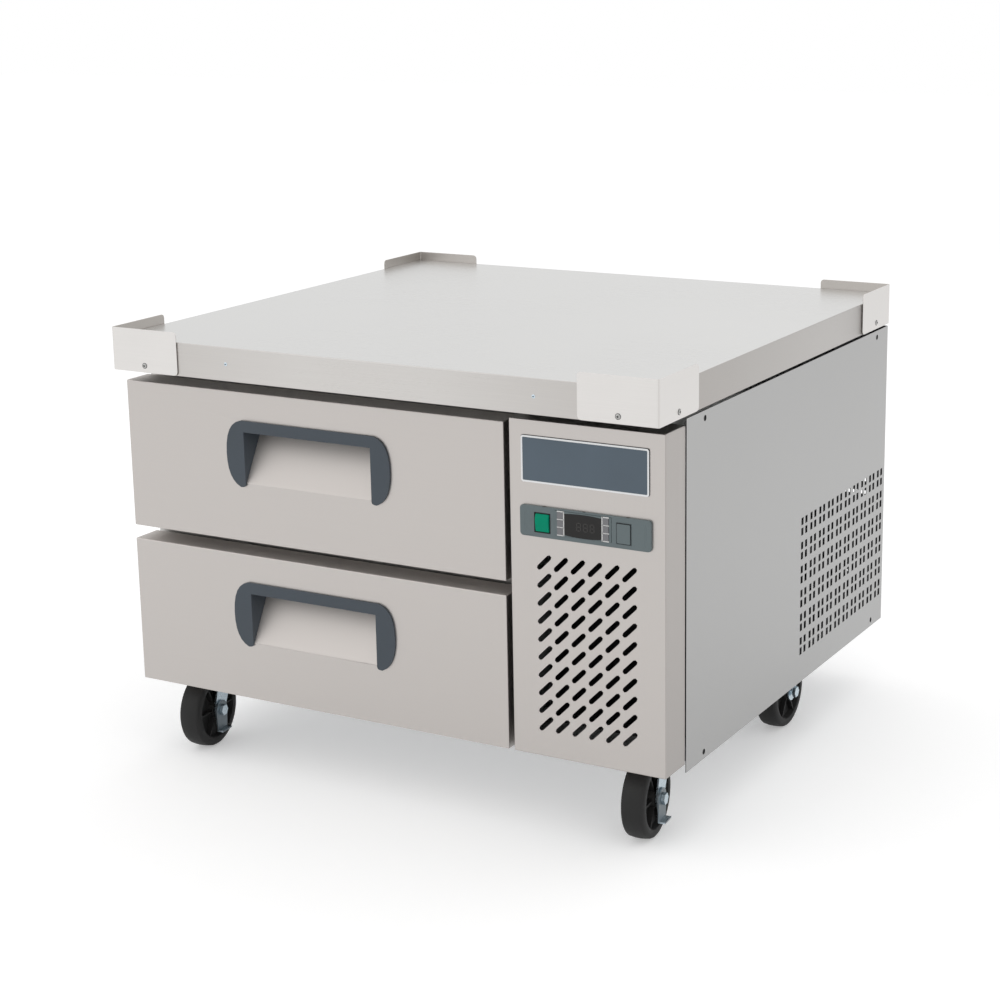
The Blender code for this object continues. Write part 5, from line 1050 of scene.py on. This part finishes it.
class CHEFBASE_OT_compressor(BuildStep, bpy.types.Operator):
    """Shape the compressor's pot, weld seam, feet and pipes, and the liquid line with its drier"""

    bl_idname = "chefbase.compressor"
    bl_label = "Compressor and liquid line"

    header_y = -0.305

    def execute(self, context):
        self.compressor()
        self.liquid_line()
        return {"FINISHED"}

    def compressor(self):
        """The pot is turned: each dome follows r = R (1 - s^2.6)^(1/2.6), with a welded lap between."""
        x, y, floor = 0.335, 0.200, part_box("compressor")[0].z
        radius, foot, top = 75.5 * MM, floor + 14 * MM, floor + 199 * MM
        lower_rise, upper_rise, lap, seam = 45 * MM, 62 * MM, 2.5 * MM, foot + 88 * MM
        share = np.linspace(1.0, 0.0, 12)
        bend = radius * (1 - share ** 2.6) ** (1 / 2.6)
        lower = np.stack([bend, foot + lower_rise - share * lower_rise], 1)
        upper = np.stack([bend, top - upper_rise + share * upper_rise], 1)[::-1]
        weld = [(radius, seam - 3 * MM), (radius + lap, seam - 1 * MM), (radius + lap, seam + 1 * MM),
                (radius, seam + 3 * MM)]
        plate = floor + 12 * MM
        foot_plate = (x - 0.1, y - 0.06, plate), (x + 0.1, y + 0.06, plate + 4 * MM)
        patches = [turned_patch(np.vstack([lower, weld, upper]), (x, y, 0.0), Z, 48), box_patch(*foot_plate)]
        grommet = [(wide * MM, floor + high * MM)
                   for wide, high in ((0, 0), (9, 0), (10, 3), (7, 6), (10, 9), (9, 13), (0, 13))]
        for foot_x in (x - 88 * MM, x + 88 * MM):
            for foot_y in (y - 48 * MM, y + 48 * MM):
                patches.append(turned_patch(grommet, (foot_x, foot_y, 0.0), Z, 20))
        terminal_box = (x + 38 * MM, y - 25 * MM, 0.235), (x + 98 * MM, y + 25 * MM, 0.290)
        patches.append(box_patch(*terminal_box))
        stub, over, header_x = floor + 92 * MM, floor + 288 * MM, 0.432
        discharge = [(x, y - 72 * MM, stub), (x, y - 148 * MM, stub), (header_x, y - 224 * MM, over),
                     (header_x, -0.205, over + 20 * MM), (header_x, self.header_y, over + 20 * MM),
                     (header_x, self.header_y, floor + 266 * MM)]
        left, turn_x, return_x, return_z = x - 72 * MM, x - 97.3 * MM, 0.2138, 0.470
        suction = [(left, y, stub), (turn_x, y, stub), (turn_x, y, return_z), (return_x, y, return_z)]
        for route, reference in ((discharge, (1.0, 0.1, 0.15)), (suction, (0.0, 1.0, 0.1))):
            patches.append(pipe_patch(rounded_route(route, 9.5 * MM), 4 * MM, 14, reference))
        stand_in("compressor", "compressor_set", patches, "Machine enamel")

    def liquid_line(self):
        """A copper tube whose radius swells over the drier as a smooth step."""
        low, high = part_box("liquid_line_with_drier")
        x, rise, end_y = high.x - 11 * MM, high.z - 11 * MM, high.y - 4 * MM
        start, turn = (x, self.header_y, low.z), (x, self.header_y, rise)
        route = rounded_route([start, turn, (x, end_y, rise), (low.x, end_y, rise)], 14 * MM)
        dense = np.vstack([np.linspace(a, b, 13)[:-1] for a, b in zip(route, route[1:])] + [route[-1:]])
        drier_from, drier_to, cone = -0.1947, -0.0947, 9 * MM
        slope = np.clip(np.minimum(dense[:, Y] - drier_from, drier_to - dense[:, Y]) / cone, 0.0, 1.0)
        swell = np.where(dense[:, Z] > rise - 2 * MM, slope * slope * (3 - 2 * slope), 0.0)
        tube = pipe_patch(dense, 4 * MM + swell * 7 * MM, 18, (0.2, 0.15, 1.0))
        stand_in("liquid_line_with_drier", "liquid_line_tube", [tube], "Copper tube")


class CHEFBASE_OT_casters(BuildStep, bpy.types.Operator):
    """Turn the wheels and finish the forks, plates and brake levers"""

    bl_idname = "chefbase.casters"
    bl_label = "Casters"

    def execute(self, context):
        edge = sizes().forged_edge
        for corner in CORNERS:
            self.wheel(f"caster_wheel_{corner}", f"wheel_{corner}_tyre")
            softened(f"caster_fork_{corner}", f"fork_{corner}_stamping", "Zinc plate", edge * 1.6)
            softened(f"caster_plate_{corner}", f"plate_{corner}_stamping", "Zinc plate", edge)
        for corner in CORNERS[:2]:
            softened(f"brake_lever_{corner}", f"brake_{corner}_stamping", "Lever steel", edge * 1.4)
        return {"FINISHED"}

    def wheel(self, node, name):
        """A wheel turned about its own axle, with ribs across its sunk web.

        The tread is crowned: r = R - crown s^2 with s from -1 to 1 across it.
        """
        joint = joint_of(node)
        axle = np.array(joint["axis"])
        spots = np.array([vertex.co for vertex in frame["nodes"][node].data.vertices])
        half = np.abs((spots - np.array(joint["pos_m"])) @ axle).max()
        radius, crown, shoulder = joint["pos_m"][Z], sizes().tread_crown, 5.5 * MM
        flat = half - shoulder
        share = np.linspace(-1.0, 1.0, 9)
        tread = np.stack([radius - crown * share ** 2, flat * share], 1)
        quarter = np.linspace(0.12, 1.0, 5) * math.pi / 2
        drop = crown + shoulder * (1 - np.cos(quarter)) * 1.4
        round_off = np.stack([radius - drop, flat + shoulder * np.sin(quarter)], 1)
        rim, web, hub, bore = 46 * MM, half - 11 * MM, 14.5 * MM, 5.3 * MM
        side = [(rim + 1.5 * MM, half), (rim, half - 0.8 * MM), (rim - 2.0 * MM, web + 1 * MM),
                (rim - 3.5 * MM, web), (hub + 3 * MM, web), (hub, web + 1.5 * MM),
                (hub - 1 * MM, half - 0.4 * MM), (hub - 2 * MM, half), (bore, half)]
        outer = np.vstack([round_off, side])
        profile = np.vstack([outer[::-1] * (1.0, -1.0), tread, outer])
        patches = [turned_patch(profile, (0.0, 0.0, 0.0), X, sizes().wheel_steps, wrap=True)]
        ribs, rib_half, rib_reach = 6, 1.2 * MM, half - 2.5 * MM
        rib, faces = box_patch((-rib_reach, hub - 1 * MM, -rib_half), (rib_reach, rim - 1 * MM, rib_half))
        for turn in np.arange(ribs) * math.tau / ribs:
            c, s = math.cos(turn), math.sin(turn)
            patches.append((rib @ np.array([[1, 0, 0], [0, c, s], [0, -s, c]]), faces))
        piece = mesh_object(name, patches)
        steer = Matrix.Rotation(math.atan2(axle[Y], axle[X]), 4, "Z")
        piece.data.transform(Matrix.Translation(joint["pos_m"]) @ steer)
        finished(piece, "Tyre rubber", BODY_OF[node], SLOT_OF[node], node)


def dome_patch(centre, way, radius, proud, bite, slotted=False):
    """A dome head on a face, as a height over a polar grid.

    The height is proud (1 - 0.92 r^2)^0.5 with r from 0 to 1. A slotted head is 0.45 of it lower in a
    cross, where one of |a| and |b| is under 0.16 and the other under 0.5 with (a, b) = r (cos, sin).
    The head goes into the face by bite and is closed there.
    """
    rings, steps = 9, 32
    r = np.linspace(0.0, 1.0, rings)[:, None]
    angle = np.arange(steps)[None] * math.tau / steps
    a, b = r * np.cos(angle), r * np.sin(angle)
    height = proud * np.sqrt(1 - 0.92 * r ** 2) + 0 * a
    if slotted:
        near_a, near_b = np.abs(a), np.abs(b)
        cross = ((near_a < 0.16) & (near_b < 0.5)) | ((near_b < 0.16) & (near_a < 0.5))
        height = height - cross * proud * 0.45
    height = np.vstack([height, np.full((2, steps), -bite)])
    a, b = (np.vstack([part, part[-1:], part[:1]]) for part in (a, b))
    way = Vector(way)
    side = way.orthogonal().normalized()
    flat = a[..., None] * np.array(side) + b[..., None] * np.array(way.cross(side))
    grid = np.array(centre) + radius * flat + height[..., None] * np.array(way)
    return grid_patch(grid, wrap_columns=True)


class CHEFBASE_OT_fasteners(BuildStep, bpy.types.Operator):
    """Set the guard screws, apron rivets, rear screws and caster bolts"""

    bl_idname = "chefbase.fasteners"
    bl_label = "Fasteners"

    def execute(self, context):
        self.guard_screws()
        self.rivets_and_rear_screws()
        self.hole_shade_discs()
        self.caster_bolts()
        return {"FINISHED"}

    def guard_screws(self):
        """Two dome heads on each guard, each on a thin dark ring and with a dark cross on its crown: painted shade
        round the head and in its cross recess.
        """
        from_corner, from_foot, radius = 61 * MM, 10.5 * MM, sizes().screw_head / 2
        proud, bite = 1.6 * MM, 1.0 * MM
        heads, screw_shade_marks = [], []
        for corner in CORNERS:
            node = f"corner_guard_{corner}"
            (way_x, way_y), (x, y) = outer_corner(node, corner)
            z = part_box(node)[0].z + from_foot
            for centre, way in (((x - way_x * from_corner, y, z), (0, way_y, 0)),
                                ((x, y - way_y * from_corner, z), (way_x, 0, 0))):
                heads.append(dome_patch(centre, way, radius, proud, bite))
                screw_shade_marks += self.shadow_ring_and_cross(np.array(centre), np.array(way), radius)
        cabinet_piece("guard_screws", heads, "Screw steel", "zinc")
        cabinet_piece("guard_screw_recesses", screw_shade_marks)

    def shadow_ring_and_cross(self, centre, way, radius):
        """A thin dark ring a little wider than its head, painted shade round it, and two crossed bars that just
        break the crown, painted shade in the cross recess.
        """
        along = int(np.argmax(np.abs(way)))
        lip, front = radius * 1.16, way[along] * 0.3 * MM
        shadow_ring = [(0.0, front), (lip, front), (lip, -front), (0.0, -front)]
        patches = [turned_patch(shadow_ring, centre, along, 24)]
        half_long, half_wide, half_deep = radius * 0.46, radius * 0.13, 0.15 * MM
        crown = centre + way * 1.55 * MM
        for axis in across(along):
            reach = np.full(3, half_wide)
            reach[axis], reach[along] = half_long, half_deep
            patches.append(box_patch(crown - reach, crown + reach))
        return patches

    def rivets_and_rear_screws(self):
        radius, hollow, deep = sizes().rivet_head / 2, sizes().rivet_head * 0.18, 1.0 * MM
        # Small black plugs at the rivets' centres: painted shade in the mandrel holes.
        hole = [(0.0, -deep), (hollow, -deep), (hollow, 0.0), (0.0, 0.0)]
        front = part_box("worktop")[0].y
        patches, hollows = [], []
        for x in (-0.2497, 0.2717):
            spot = (x, front, 0.6505)
            patches.append(dome_patch(spot, (0, -1, 0), radius, 0.9 * MM, 0.6 * MM))
            hollows.append(turned_patch(hole, spot, Y, 16))
        cabinet_piece("rivet_hollows", hollows)
        low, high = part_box("rear_panel")
        radius, from_edge = sizes().screw_head / 2, 12 * MM
        for x in (-0.44, 0.0, 0.44):
            for z in (low.z + from_edge, high.z - from_edge):
                spot = (x, high.y, z)
                patches.append(dome_patch(spot, (0, 1, 0), radius, 1.6 * MM, 0.5 * MM, slotted=True))
        cabinet_piece("rivets_and_rear_screws", patches, "Zinc plate", "zinc")

    def hole_shade_discs(self):
        """Black discs behind the holes at the corners of the side panels: painted shade in the holes."""
        radius, thick = 5.6 * MM, 0.1 * MM
        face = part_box("right_side_panel")[0].x - 0.1 * MM
        patches = []
        for side in (-1, 1):
            near, far = side * face, side * (face - thick)
            profile = [(0.0, near), (radius, near), (radius, far), (0.0, far)]
            for y, z in ((-0.290, 0.121), (-0.290, 0.610), (0.381, 0.121), (0.381, 0.610)):
                patches.append(turned_patch(profile, (0.0, y, z), X, 20))
        cabinet_piece("sunk_panel_screws", patches)

    def caster_bolts(self):
        """Six-sided heads under each plate's corners."""
        radius, inset = sizes().hex_head / math.sqrt(3.0), 7.5 * MM
        patches = []
        for corner in CORNERS:
            low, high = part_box(f"caster_plate_{corner}")
            root, edge, end = high.z - 2 * MM, high.z - 6 * MM, high.z - 6.6 * MM
            profile = [(0, root), (radius, root), (radius, edge), (radius * 0.86, end), (0, end)]
            for x in (low.x + inset, high.x - inset):
                for y in (low.y + inset, high.y - inset):
                    patches.append(turned_patch(profile, (x, y, 0.0), Z, 6))
        cabinet_piece("caster_bolts", patches, "Zinc plate", "zinc")


class CHEFBASE_OT_stage(BuildStep, bpy.types.Operator):
    """Lay the pale floor, hang the soft lamps and set the camera"""

    bl_idname = "chefbase.stage"
    bl_label = "Studio stage"

    def execute(self, context):
        self.floor()
        self.world()
        self.lamps()
        self.camera()
        context.scene.view_settings.view_transform = "Standard"
        return {"FINISHED"}

    def seen_directly(self, tree):
        """1 where a camera, glossy or transmission ray looks, else 0."""
        path = add(tree, "LightPath", {}).outputs
        seen = arithmetic(tree, "MAXIMUM", path["Is Camera Ray"], path["Is Glossy Ray"])
        return arithmetic(tree, "MAXIMUM", seen, path["Is Transmission Ray"])

    def floor(self):
        """A flat floor with a glow for direct looks, which falls a little from near the cabinet outwards."""
        reach, near, far, near_glow, far_glow = 14.0, 1.0, 6.0, 0.33, 0.32
        grid = np.array([[(x, y, 0.0) for x in (-reach, reach)] for y in (-reach, reach)])
        piece = mesh_object("studio_floor", [grid_patch(grid)])
        made = bpy.data.materials.new("Studio floor")
        made.use_nodes = True
        tree = made.node_tree
        tree.nodes.clear()
        away = add(tree, "VectorMath", {0: coordinates(tree)}, operation="LENGTH").outputs["Value"]
        lift = ramp(tree, away, near, far, near_glow, far_glow)
        strength = arithmetic(tree, "MULTIPLY", self.seen_directly(tree), lift)
        diffuse = add(tree, "BsdfDiffuse", {"Color": (*colours().floor, 1.0)}).outputs[0]
        glow = add(tree, "Emission", {"Strength": strength}).outputs[0]
        lit = add(tree, "AddShader", {0: diffuse, 1: glow}).outputs[0]
        add(tree, "OutputMaterial", {"Surface": lit})
        piece.data.materials.append(made)

    def world(self):
        """An even white sky, brighter for direct looks than for what it lights."""
        light, added = 0.80, 0.20
        world = bpy.data.worlds.new("Studio world")
        bpy.context.scene.world = world
        world.use_nodes = True
        tree = world.node_tree
        background = tree.nodes["Background"].inputs
        background["Color"].default_value = (1.0, 1.0, 1.0, 1.0)
        lift = arithmetic(tree, "MULTIPLY", self.seen_directly(tree), added)
        tree.links.new(arithmetic(tree, "ADD", lift, light), background["Strength"])

    def lamps(self):
        """Two large square lamps, each with its place, width and power, turned to the cabinet."""
        target = Vector((0.0, 0.0, 0.4))
        for name, spot, width, power in (
            ("Key lamp", (-3.0, -3.6, 3.0), 5.0, 30.0),
            ("Top lamp", (0.3, 1.6, 3.6), 4.0, 20.0),
        ):
            data = bpy.data.lights.new(name, "AREA")
            data.shape = "SQUARE"
            data.size = width
            data.energy = power
            lamp = bpy.data.objects.new(name, data)
            lamp.location = spot
            lamp.rotation_euler = (target - Vector(spot)).to_track_quat("-Z", "Y").to_euler()
            bpy.context.scene.collection.objects.link(lamp)

    def camera(self):
        """Stands the camera by azimuth, elevation and roll, as the photograph was taken."""
        azimuth, elevation, roll = (math.radians(degrees) for degrees in (28.968, 13.316, -0.712))
        eye = Vector((1.64431, -2.83975, 1.24500))
        flat = math.cos(elevation)
        back = Vector((math.sin(azimuth) * flat, -math.cos(azimuth) * flat, math.sin(elevation)))
        level = Vector((0, 0, 1)).cross(back).normalized()
        upright = back.cross(level)
        right = level * math.cos(roll) + upright * math.sin(roll)
        up = upright * math.cos(roll) - level * math.sin(roll)
        data = bpy.data.cameras.new("Studio camera")
        data.sensor_width = 36.0
        data.lens = 75.20
        data.shift_x = -0.06
        data.shift_y = -0.06
        camera = bpy.data.objects.new("Studio camera", data)
        camera.matrix_world = Matrix.Translation(eye) @ Matrix((right, up, back)).transposed().to_4x4()
        bpy.context.scene.collection.objects.link(camera)
        bpy.context.scene.camera = camera


STEPS = (
    CHEFBASE_OT_worktop,
    CHEFBASE_OT_guards,
    CHEFBASE_OT_casing,
    CHEFBASE_OT_drawer_fronts,
    CHEFBASE_OT_handles,
    CHEFBASE_OT_gaskets,
    CHEFBASE_OT_runners,
    CHEFBASE_OT_fascia,
    CHEFBASE_OT_badge,
    CHEFBASE_OT_controls,
    CHEFBASE_OT_coils,
    CHEFBASE_OT_fans,
    CHEFBASE_OT_compressor,
    CHEFBASE_OT_casters,
    CHEFBASE_OT_fasteners,
    CHEFBASE_OT_stage,
)


class CHEFBASE_PT_panel(bpy.types.Panel):
    """Lists the steps and the values that they read"""

    bl_label = "Chef Base"
    bl_idname = "CHEFBASE_PT_panel"
    bl_space_type = "VIEW_3D"
    bl_region_type = "UI"
    bl_category = "Chef Base"

    def draw(self, context):
        for step in STEPS:
            self.layout.operator(step.bl_idname)
        for group in (context.scene.chef_base_sizes, context.scene.chef_base_colours):
            column = self.layout.column(align=True)
            for name in group.bl_rna.properties.keys():
                if name not in ("rna_type", "name"):
                    column.prop(group, name)


CLASSES = (ChefBaseSizes, ChefBaseColours, *STEPS, CHEFBASE_PT_panel)


def register():
    for made in CLASSES:
        bpy.utils.register_class(made)
    bpy.types.Scene.chef_base_sizes = PointerProperty(type=ChefBaseSizes)
    bpy.types.Scene.chef_base_colours = PointerProperty(type=ChefBaseColours)


def unregister():
    del bpy.types.Scene.chef_base_colours
    del bpy.types.Scene.chef_base_sizes
    for made in reversed(CLASSES):
        bpy.utils.unregister_class(made)


def main():
    register()
    for step in STEPS:
        family, action = step.bl_idname.split(".")
        getattr(getattr(bpy.ops, family), action)()


if __name__ == "__main__":
    main()
